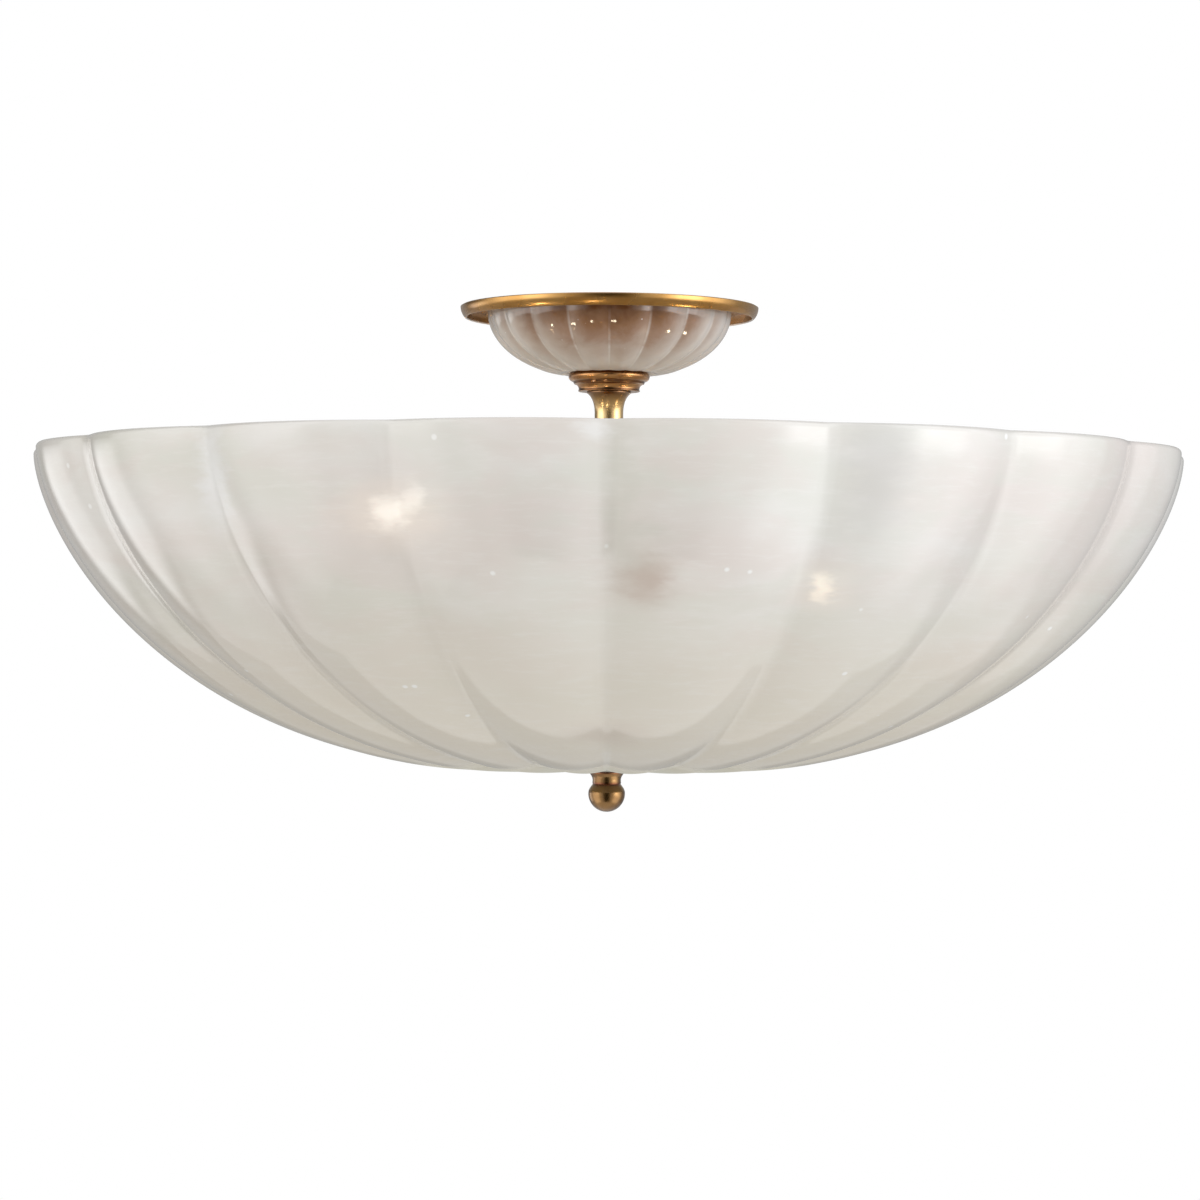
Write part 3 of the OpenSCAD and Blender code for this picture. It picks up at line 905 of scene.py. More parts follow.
    def torn(self, add: partial, place: Socket) -> Socket:
        """Shifts the coordinates by a noise, so that the spots get ragged edges.

        Args:
            add: add_node bound to the material's tree.
            place: the object's coordinates.

        Returns:
            The shifted coordinates.
        """
        drift = add("TexNoise", {
            "Vector": add("Mapping", {"Vector": place, "Scale": (0.4, 0.4, 1.0)}),
            "Scale": 1 / self.tear_gap, "Detail": 3.0, "Roughness": 0.65,
        }, "Color")
        centred = add("VectorMath", {0: drift, 1: (0.5, 0.5, 0.5)}, operation="SUBTRACT")
        return add("VectorMath", {0: centred, 1: self.tear, 2: place}, operation="MULTIPLY_ADD")


@dataclass(frozen=True)
class SmokyGlass(BlownGlass):
    """Pressed smoky glass, with tones painted by the angle of view: brown where the eye looks straight into
    it, then taupe, and pale at its edges.

    A fire-polished skin makes it glossy, each crease between two ribs gets a thin painted highlight,
    stronger towards the edges, and a few small seeds are caught in it. The brown is partly the
    glass's own smoke and partly painted shade of the dark pan behind it; the pale edges are painted
    light of the white surroundings showing through. The tones run by a depth, which is the turn away
    from the eye times edge_depth, plus the cloud times the first of cloud_depth, plus the second.
    """

    name: str = "smoky_glass"
    seed_gap: float = 5 * MM
    seed_rarity: float = 0.62
    roughness: float = 0.07
    tones: tuple[tuple[float, str], ...] = (
        (0.06, "#714828"), (0.2, "#906a4c"), (0.36, "#ab8d79"), (0.55, "#c8b6a9"), (0.85, "#e4dcd5"),
    )
    # Colour of the painted crease highlights.
    line: str = "#f3eee8"
    cloud: float = 17 * MM
    edge_depth: float = 1.3
    cloud_depth: tuple[float, float] = (0.4, -0.12)
    line_depth: tuple[float, float] = (2.2, 0.05)

    def shader(self, add: partial) -> Socket:
        """Builds the shader: tones painted by the angle of view and a cloud, with seeds and painted crease
        highlights.

        Args:
            add: add_node bound to the material's tree.

        Returns:
            The shader.
        """
        place = add("TexCoord", output="Object")
        clouds = add("TexNoise", {
            "Vector": place, "Scale": 1 / self.cloud, "Detail": 4.0, "Roughness": 0.6, "Distortion": 0.3,
        })
        # Painted light and shade: the tone follows the angle of view.
        edge = add("LayerWeight", {"Blend": 0.5}, "Facing")
        factor, shift = self.cloud_depth
        cloudy = add("Math", {0: clouds, 1: factor, 2: shift}, operation="MULTIPLY_ADD")
        depth = add("Math", {0: edge, 1: self.edge_depth, 2: cloudy}, operation="MULTIPLY_ADD")
        ramp = add("ValToRGB", {0: depth})
        stops = ramp.node.color_ramp.elements
        while len(stops) < len(self.tones):
            stops.new(0.5)
        for stop, (position, code) in zip(stops, self.tones):
            stop.position = position
            stop.color = linear(code)
        uneven = add("MapRange", {"Value": clouds, "From Min": 0.35, "From Max": 0.6, "To Max": 0.9})
        # The painted crease highlights grow towards the edges.
        factor, shift = self.line_depth
        aside = add("Math", {0: edge, 1: factor, 2: shift}, operation="MULTIPLY_ADD", use_clamp=True)
        strength = add("Math", {0: uneven, 1: aside}, operation="MULTIPLY")
        colour = self.painted_crease_highlights(add, self.seeds(add, place, ramp), self.line, strength, (0.9, 0.985))
        return add("BsdfPrincipled", {"Base Color": colour, "Roughness": self.roughness, "IOR": 1.54})


@dataclass(frozen=True)
class LampGlass(Surface):
    """Clear blown lamp glass: thin, colourless and very smooth, with a faint ripple."""

    name: str = "clear_lamp_glass"
    tint: str = "#fdfcf9"
    ripple: float = 18 * MM
    ripple_height: float = 0.3 * MM

    def shader(self, add: partial) -> Socket:
        """Builds the shader: clear glass with a ripple.

        Args:
            add: add_node bound to the material's tree.

        Returns:
            The shader.
        """
        place = add("TexCoord", output="Object")
        ripple = add("TexNoise", {"Vector": place, "Scale": 1 / self.ripple, "Detail": 1.0})
        return add("BsdfPrincipled", {
            "Base Color": linear(self.tint), "Roughness": 0.02, "IOR": 1.45, "Transmission Weight": 1.0,
            "Normal": add("Bump", {"Height": ripple, "Strength": 0.15, "Distance": self.ripple_height}),
        })


@dataclass(frozen=True)
class HotFilament(Surface):
    """Tungsten wire at white heat, a little hotter and cooler from place to place."""

    name: str = "hot_tungsten"
    metal: str = "#4a4642"
    cooler: str = "#ffc070"
    hotter: str = "#fff0cc"
    strength: float = 30.0
    uneven: float = 3 * MM

    def shader(self, add: partial) -> Socket:
        """Builds the shader: dark metal that glows.

        Args:
            add: add_node bound to the material's tree.

        Returns:
            The shader.
        """
        place = add("TexCoord", output="Object")
        heat = add("TexNoise", {"Vector": place, "Scale": 1 / self.uneven})
        return add("BsdfPrincipled", {
            "Base Color": linear(self.metal), "Metallic": 1.0, "Roughness": 0.4,
            "Emission Color": add("Mix", {
                0: heat, 6: linear(self.cooler), 7: linear(self.hotter),
            }, 2, data_type="RGBA"),
            "Emission Strength": self.strength,
        })


class Finish(Enum):
    """The finishes of this light, by the part that wears them."""

    # The pan's inward faces get a pale colour, a painted reflection.
    PAN = AgedBrass(
        "spun_brass_pan", "#c49a5c", "#956524", contrast=0.2, roughness=0.26, blotch=30 * MM, coat=0.4,
        painted_inner_reflection="#efe0d2",
    )
    # The collar's grooves are painted brown: patina with painted shade.
    COLLAR = AgedBrass(
        "turned_brass_collar", "#cc9a62", "#8c5a2b", contrast=0.3, roughness=0.25, blotch=9 * MM,
        patina_and_shade_bands=((-40.6 * MM, 1.2 * MM), (-44.6 * MM, 0.9 * MM)), patina_and_shade_brown="#4a2508",
    )
    # The brown band over the stem's flare is a painted dark reflection.
    STEM = AgedBrass(
        "drawn_brass_stem", "#efd3a0", "#c9a266", contrast=0.2, roughness=0.25, blotch=14 * MM, coat=0.5,
        patina_and_shade_bands=((-45.0 * MM, 10.0 * MM),), patina_and_shade_brown="#6b401a",
    )
    # The finial's groove and top edge are painted brown: patina with painted shade.
    FINIAL = AgedBrass(
        "bronzed_brass_finial", "#8d6a3b", "#5c3c18", contrast=0.22, roughness=0.25, blotch=9 * MM, coat=0.5,
        patina_and_shade_bands=((-253.9 * MM, 1.5 * MM), (-247.5 * MM, 1.8 * MM)), patina_and_shade_brown="#5f2a0c",
    )
    HUB = AgedBrass("spun_brass_hub", "#c99a56", "#7d5524", rubbed=0.5, roughness=0.32, blotch=12 * MM)
    CONTACT = AgedBrass("stamped_brass_contact", "#e0b566", "#a67a36", rubbed=0.7, roughness=0.3)
    STEEL = PlatedSteel("zinc_plated_steel", "#c9ccd0", "#8d9196")
    ROD = PlatedSteel("yellow_zinc_rod", "#d3bd84", "#8c7a4c", roughness=0.34)
    CAP = PlatedSteel("nickel_plated_cap", "#d6d3cc", "#a5a29c", roughness=0.25)
    GREEN = MouldedFinish("green_lacquered_screw", "#2f8a50", "#1d5c34", 0.35, 2 * MM)
    RUBBER = MouldedFinish("moulded_rubber", "#3a3937", "#2a2928", 0.62, 3 * MM)
    SOFT_WASHER = MouldedFinish("clear_vinyl_washer", "#b9b6ae", "#a29f96", 0.4, 4 * MM)
    PORCELAIN = MouldedFinish("glazed_porcelain", "#efeae0", "#e2dccf", 0.16, 14 * MM)
    INSULATOR = MouldedFinish("black_lamp_glass", "#1c1a1c", "#121113", 0.15, 5 * MM)
    LAMP_GLASS = LampGlass()
    FILAMENT = HotFilament()
    DOME_GLASS = SmokyGlass()


@cache
def finish(kind: Finish) -> bpy.types.Material:
    """The material of a finish, built when it is first asked for."""
    return kind.value.material()


@dataclass
class Canopy:
    """What hangs at the ceiling: crossbar, nuts, rod, pan, gasket and ribbed glass dome."""

    pan_open: float = 57.0 * MM
    pan_wall: float = 1.2 * MM
    pan_rim_r: float = 8.0 * MM
    pan_edge: float = 0.6 * MM
    rod_bore: float = 3.0 * MM
    thread_pitch: float = 1.0 * MM
    thread_depth: float = 0.55 * MM
    dome: LobedForm = LobedForm(
        rim_radius=63.4 * MM, rim_depth=2.7 * MM, height=35.5 * MM, floor_power=2.3, side_root=2.0,
        lobe_height=1.55 * MM, seat_radius=18 * MM, dimple_radius=27 * MM, dimple_height=4.3 * MM,
        hole_radius=5.3 * MM, wall=4 * MM, lip_rise=0.0, fillet=0.1, lobe_columns=16,
    )

    def make(self) -> None:
        """Builds and dresses every piece."""
        self.make_pan()
        dome = self.dome.shell("canopy_dome_pressed")
        finish_piece(dome, "fixture", finish(Finish.DOME_GLASS), ("canopy_dome",))
        self.make_rod()
        self.make_nuts()
        dress(finish(Finish.STEEL), "crossbar")
        dress(finish(Finish.GREEN), "ground_screw")
        dress(finish(Finish.RUBBER), "dome_gasket")
        dress(finish(Finish.SOFT_WASHER), "dome_washer")

    def make_pan(self) -> None:
        """The spun pan: a flat ring, a rounded rim turned down, and a hemmed edge."""
        radius, low, _ = span("canopy_pan")
        hem = self.pan_wall / 2
        corner = radius - self.pan_rim_r
        middle = self.pan_rim_r - hem
        end = math.asin((-low - self.pan_edge - hem) / middle)
        drop = math.degrees(end)
        foot = (corner + middle * math.cos(end), -self.pan_edge - middle * math.sin(end))
        shoulder = radius - 2 * self.pan_edge
        outline = Outline(self.pan_open, 0).to(shoulder, 0)
        outline.arc(shoulder, -self.pan_edge, self.pan_edge, 90, 20, steps=4)
        outline.arc(corner, -self.pan_edge, self.pan_rim_r, 0, -drop, steps=14)
        outline.arc(*foot, hem, -drop, -drop - 180, steps=8)
        outline.arc(corner, -self.pan_edge, self.pan_rim_r - self.pan_wall, -drop, 0, steps=14)
        outline.to(shoulder - self.pan_wall, -self.pan_wall).to(self.pan_open, -self.pan_wall)
        pan = build("canopy_pan_spun", [outline.turned(True, 288)])
        finish_piece(pan, "fixture", finish(Finish.PAN), ("canopy_pan",))

    def make_rod(self) -> None:
        """The threaded rod with its wire way."""
        radius, low, high = span("center_rod")
        tube = threaded_tube(radius, self.rod_bore, self.thread_depth, self.thread_pitch, low, high)
        rod = build("center_rod_threaded", tube, sharp_angle=30)
        finish_piece(rod, "fixture", finish(Finish.ROD), ("center_rod",))

    def make_nuts(self) -> None:
        """The two hex nuts that lock the rod to the crossbar."""
        _, low, high = span("crossbar_nuts")
        _, bar_low, bar_high = span("crossbar")
        bore = span("center_rod")[0] - self.thread_depth / 2
        nuts = [hex_nut(bore, bar_high, high), hex_nut(bore, low, bar_low)]
        piece = build("crossbar_nuts_chamfered", nuts, sharp_angle=25)
        finish_piece(piece, "fixture", finish(Finish.STEEL), ("crossbar_nuts",))


@dataclass
class Neck:
    """The turned collar and the flared stem between the dome and the hub.

    The cove's and the flare's pulls say how far the points that steer their curves lie from their
    ends, as radius and height. The flare's last one is a share of its height.
    """

    torus_h: float = 5.7 * MM
    step_h: float = 1.2 * MM
    foot_r: float = 16.4 * MM
    foot_h: float = 0.8 * MM
    cove_top_pull: tuple[float, float] = (2.0 * MM, 0.4 * MM)
    cove_foot_pull: tuple[float, float] = (0.3 * MM, 1.6 * MM)
    bore: float = 5.3 * MM
    stem_r: float = 7.6 * MM
    flare_h: float = 11.0 * MM
    flare_lip: float = 0.8 * MM
    flare_pull: float = 2.2 * MM
    flare_shares: tuple[float, float] = (0.12, 0.42)
    edge: float = 0.25 * MM

    def make(self) -> None:
        """Builds and dresses both pieces."""
        self.make_collar()
        self.make_stem()

    def make_collar(self) -> None:
        """Torus, step, cove and foot, each edge broken by a small bevel."""
        radius, low, high = span("neck_collar")
        half = self.torus_h / 2
        torus_r = radius - half
        torus_z = high - half
        step_low = torus_z - half - self.step_h
        foot_top = low + self.foot_h
        outline = Outline(self.bore, high).arc(torus_r, torus_z, half, 90, -84, steps=24)
        outline.to(torus_r + self.edge, torus_z - half - self.edge)
        outline.arc(torus_r - self.edge, step_low + self.edge, self.edge, 0, -80, steps=4)
        outline.curve(
            (torus_r - self.cove_top_pull[0], step_low - self.cove_top_pull[1]),
            (self.foot_r - self.cove_foot_pull[0], foot_top + self.cove_foot_pull[1]),
            (self.foot_r - self.edge, foot_top),
            steps=18,
        )
        outline.to(self.foot_r, foot_top - self.edge).to(self.foot_r, low + self.edge)
        outline.to(self.foot_r - self.edge, low).to(self.bore, low)
        collar = build("neck_collar_turned", [outline.turned(True)], sharp_angle=32)
        finish_piece(collar, "fixture", finish(Finish.COLLAR), ("neck_collar",))

    def make_stem(self) -> None:
        """A tube whose top flares out in a trumpet curve to a thin lip."""
        radius, low, high = span("stem")
        top = high - self.flare_lip
        outline = Outline(self.bore, high).to(radius - self.edge, high).to(radius, high - self.edge)
        outline.to(radius, top)
        outline.curve(
            (radius - self.flare_pull, top - self.flare_shares[0] * self.flare_h),
            (self.stem_r, top - self.flare_shares[1] * self.flare_h),
            (self.stem_r, top - self.flare_h),
            steps=26,
        )
        outline.to(self.stem_r, low).to(self.bore, low)
        stem = build("stem_flared", [outline.turned(True)], sharp_angle=32)
        finish_piece(stem, "fixture", finish(Finish.STEM), ("stem",))


@dataclass(frozen=True)
class Axis:
    """Where a lampholder points: +Z of its own becomes its arm's direction, from the hub's middle."""

    azimuth: float
    tilt: float
    middle: float

    def place(self, patch: Patch) -> Patch:
        """Puts a patch on this axis.

        Args:
            patch: a surface round its own +Z.

        Returns:
            The surface round the arm.
        """
        a, b = math.radians(self.azimuth), math.radians(90 - self.tilt)
        round_z = np.array([[math.cos(a), -math.sin(a), 0], [math.sin(a), math.cos(a), 0], [0, 0, 1]])
        round_y = np.array([[math.cos(b), 0, math.sin(b)], [0, 1, 0], [-math.sin(b), 0, math.cos(b)]])
        return patch.moved(round_z @ round_y, np.array([0, 0, self.middle]))


@dataclass
class Lampholder:
    """A porcelain lampholder: tapered back, three grooves, a rounded collar and the bore.

    Levels and heights count from its back face.
    """

    start: float = 33.0 * MM
    end: float = 83.0 * MM
    radius: float = 19.0 * MM
    bore: float = 15.0 * MM
    bore_floor: float = 51.0 * MM
    arm_r: float = 5.0 * MM
    arm_bore: float = 3.0 * MM
    arm_seat: float = 9.0 * MM
    back_r: float = 11.4 * MM
    edge: float = 0.6 * MM
    shoulder_r: float = 1.0 * MM
    shoulder: float = 9.4 * MM
    grooves: tuple[float, ...] = (17.0 * MM, 23.0 * MM, 29.0 * MM)
    groove_r: float = 0.9 * MM
    groove_half: float = 1.0 * MM
    collar_out: float = 1.0 * MM
    collar_h: float = 5.2 * MM
    collar_low_r: float = 1.2 * MM
    collar_top_r: float = 1.4 * MM

    def make(self, number: int, axis: Axis) -> None:
        """Builds one lampholder.

        Args:
            number: its number.
            axis: where it points.
        """
        start, end, r = self.start, self.end, self.radius
        body = r - self.collar_out
        outline = Outline(self.arm_r, start).to(self.back_r, start)
        outline.arc(self.back_r, start + self.edge, self.edge, -90, -30, steps=4)
        outline.to(body - self.edge, start + self.shoulder - self.shoulder_r)
        outline.arc(body - self.shoulder_r, start + self.shoulder, self.shoulder_r, -30, 0, steps=4)
        for groove in self.grooves:
            outline.to(body, start + groove - self.groove_half)
            outline.arc(body, start + groove, self.groove_r, -100, -260, steps=8)
            outline.to(body, start + groove + self.groove_half)
        outline.to(body, end - self.collar_h)
        low_turn = end - self.collar_h + 2 * self.shoulder_r
        outline.arc(r - self.collar_low_r, low_turn, self.collar_low_r, -40, 0, steps=4)
        outline.arc(r - self.collar_top_r, end - self.collar_top_r, self.collar_top_r, 0, 90, steps=8)
        outline.arc(self.bore + self.edge, end - self.edge, self.edge, 90, 180, steps=4)
        outline.to(self.bore, self.bore_floor).to(self.arm_bore, self.bore_floor)
        outline.to(self.arm_bore, start + self.arm_seat).to(self.arm_r, start + self.arm_seat)
        holder = build(f"holder_{number}_glazed", [axis.place(outline.turned(True, 96))], sharp_angle=35)
        finish_piece(holder, "fixture", finish(Finish.PORCELAIN), (f"holder_{number}",))


@dataclass
class Lamp:
    """A screw-base lamp: clear glass, the glass mount in it, two lead wires and a coiled filament.

    Its mouth is the lampholder's end. The pulls say how far the points that steer the glass's
    curve lie from its ends. The mount's profile is rows of radius and height over its foot.
    """

    mouth: float = 83.0 * MM
    neck_r: float = 12.7 * MM
    neck_in_cap: float = 10.0 * MM
    neck_pull: tuple[float, float] = (0.8 * MM, 13.0 * MM)
    globe_r: float = 30.0 * MM
    globe_pull: float = 14.0 * MM
    globe_join: float = 65.0
    length: float = 80.0 * MM
    wall: float = 0.6 * MM
    mount_sink: float = 9.0 * MM
    mount_foot_r: float = 11.0 * MM
    mount_flare: tuple[tuple[float, float], ...] = (
        (7.0 * MM, 4.0 * MM), (3.4 * MM, 9.0 * MM), (3.0 * MM, 18.0 * MM),
    )
    mount_tip_r: float = 2.6 * MM
    mount_tip_centre: float = 2.4 * MM
    mount_tip_start: float = 4.0 * MM
    mount_gap: float = 14.0 * MM
    bow_r: float = 9.0 * MM
    bow_half_angle: float = 2.3
    bow_sag: float = 2.0 * MM
    coil_r: float = 1.0 * MM
    coil_turns: float = 40.0
    filament_r: float = 0.28 * MM
    lead_r: float = 0.35 * MM
    lead_gap: float = 1.5 * MM
    lead_in_mount: float = 6.0 * MM
    lead_spread: float = 1.6
    lead_end: float = 2.0 * MM

    def make(self, number: int, axis: Axis) -> None:
        """Builds one lamp's glass and what it holds.

        Args:
            number: its number.
            axis: where it points.
        """
        body = f"lamp_{number}"
        glass = turned(np.concatenate([self.skin(0), self.skin(self.wall)[::-1]]), True, 72)
        shell = build(f"bulb_glass_{number}_blown", [axis.place(glass)], sharp_angle=60)
        finish_piece(shell, body, finish(Finish.LAMP_GLASS), (f"bulb_glass_{number}",))
        mount = build(f"lamp_mount_{number}", [axis.place(self.mount())])
        finish_piece(mount, body, finish(Finish.LAMP_GLASS))
        path = self.filament()
        coil = axis.place(wire(path, (0.3, 1.0, 0.2), self.filament_r))
        finish_piece(build(f"lamp_filament_{number}", [coil]), body, finish(Finish.FILAMENT))
        leads = [axis.place(self.lead(end)) for end in (path[0], path[-1])]
        finish_piece(build(f"lamp_leads_{number}", leads), body, finish(Finish.CAP))

    @property
    def centre(self) -> float:
        """Place of the globe's centre along the axis."""
        return self.mouth + self.length - self.globe_r

    @property
    def mount_top(self) -> float:
        """Place of the mount's tip along the axis."""
        return self.centre - self.mount_gap

    def skin(self, depth: float) -> np.ndarray:
        """Works out one skin of the glass, from its neck to its crown.

        Args:
            depth: how far it lies under the outer one.

        Returns:
            Rows of radius and height.
        """
        join = math.radians(self.globe_join)
        r = self.globe_r - depth
        neck = self.neck_r - depth
        joined = (r * math.sin(join), self.centre - r * math.cos(join))
        outline = Outline(neck, self.mouth - self.neck_in_cap).to(neck, self.mouth)
        outline.curve(
            (neck + self.neck_pull[0], self.mouth + self.neck_pull[1]),
            (joined[0] - self.globe_pull * math.cos(join), joined[1] - self.globe_pull * math.sin(join)),
            joined,
            steps=20,
        )
        return outline.arc(0, self.centre, r, self.globe_join - 90 + 1, 90, steps=40).points()

    def mount(self) -> Patch:
        """Works out the glass mount: a flared foot in the neck, and a rod with a round tip.

        Returns:
            Its surface round the lamp's own axis.
        """
        foot, top, tip = self.mouth - self.mount_sink, self.mount_top, self.mount_tip_r
        outline = Outline(0, foot).to(self.mount_foot_r, foot)
        outline.curve(*[(r, foot + h) for r, h in self.mount_flare], steps=12)
        outline.to(tip, top - self.mount_tip_start)
        outline.arc(0, top - self.mount_tip_centre, tip, -20, 90, steps=8)
        return outline.turned(False, 32)

    def filament(self) -> np.ndarray:
        """Works out the coil: it winds round a bow whose ends come down to the lead wires.

        Returns:
            The points of the wire's middle line.
        """
        arc = np.linspace(-self.bow_half_angle, self.bow_half_angle, 400)
        twist = arc * self.coil_turns
        r = self.bow_r + self.coil_r * np.cos(twist)
        height = self.centre - self.bow_sag + r * np.cos(arc)
        return np.stack([r * np.sin(arc), self.coil_r * np.sin(twist), height], axis=1)

    def lead(self, end: np.ndarray) -> Patch:
        """Works out one lead wire, from inside the mount to an end of the filament.

        Args:
            end: that end.

        Returns:
            Its surface round the lamp's own axis.
        """
        side, top = math.copysign(self.lead_gap, end[0]), self.mount_top
        inside, tip = [side, 0, top - self.lead_in_mount], [side * self.lead_spread, 0, top]
        points = [inside, tip, [end[0], 0, end[2] - self.lead_end], end]
        return wire(np.array(points), (0, 1.0, 0), self.lead_r)


@dataclass
class LampCluster:
    """The hub with its three arms, lampholders and lamps."""

    azimuths: tuple[float, ...] = (-30.0, 90.0, 210.0)
    tilt: float = 8.0
    middle: float = -141.0 * MM
    nut_start: float = 24.0 * MM
    nut_t: float = 5.0 * MM
    arm_r: float = 5.0 * MM
    arm_bore: float = 3.0 * MM
    arm_start: float = 16.0 * MM
    arm_end: float = 41.0 * MM
    thread_depth: float = 0.5 * MM
    thread_pitch: float = 1.0 * MM

    def make(self) -> None:
        """Builds and dresses every piece."""
        dress(finish(Finish.HUB), "hub_body", "hub_cap")
        dress(finish(Finish.STEEL), "hub_washer")
        axes = [Axis(azimuth, self.tilt, self.middle) for azimuth in self.azimuths]
        self.make_nuts(axes)
        for number, axis in enumerate(axes, 1):
            self.make_arm(number, axis)
            Lampholder().make(number, axis)
            Lamp().make(number, axis)
            dress(finish(Finish.CONTACT), f"screw_shell_{number}", f"contact_{number}")
            dress(finish(Finish.CAP), f"bulb_cap_{number}")
            dress(finish(Finish.INSULATOR), f"bulb_tip_{number}")

    def make_nuts(self, axes: list[Axis]) -> None:
        """The nut that holds the hub on the rod, and the three lock nuts against its bosses.

        Args:
            axes: where the arms point.
        """
        _, low, high = span("hub_nut")
        lock = hex_nut(self.arm_r, self.nut_start, self.nut_start + self.nut_t)
        for node, nuts in (
            ("hub_nut", [hex_nut(self.arm_r, low, high)]),
            ("arm_nuts", [axis.place(lock) for axis in axes]),
        ):
            piece = build(f"{node}_chamfered", nuts, sharp_angle=25)
            finish_piece(piece, "fixture", finish(Finish.STEEL), (node,))

    def make_arm(self, number: int, axis: Axis) -> None:
        """A short threaded tube from the hub into a lampholder.

        Args:
            number: its number.
            axis: where it points.
        """
        tube = threaded_tube(
            self.arm_r, self.arm_bore, self.thread_depth, self.thread_pitch, self.arm_start, self.arm_end,
        )
        arm = build(f"arm_{number}_threaded", [axis.place(patch) for patch in tube], sharp_angle=30)
        finish_piece(arm, "fixture", finish(Finish.ROD), (f"arm_{number}",))


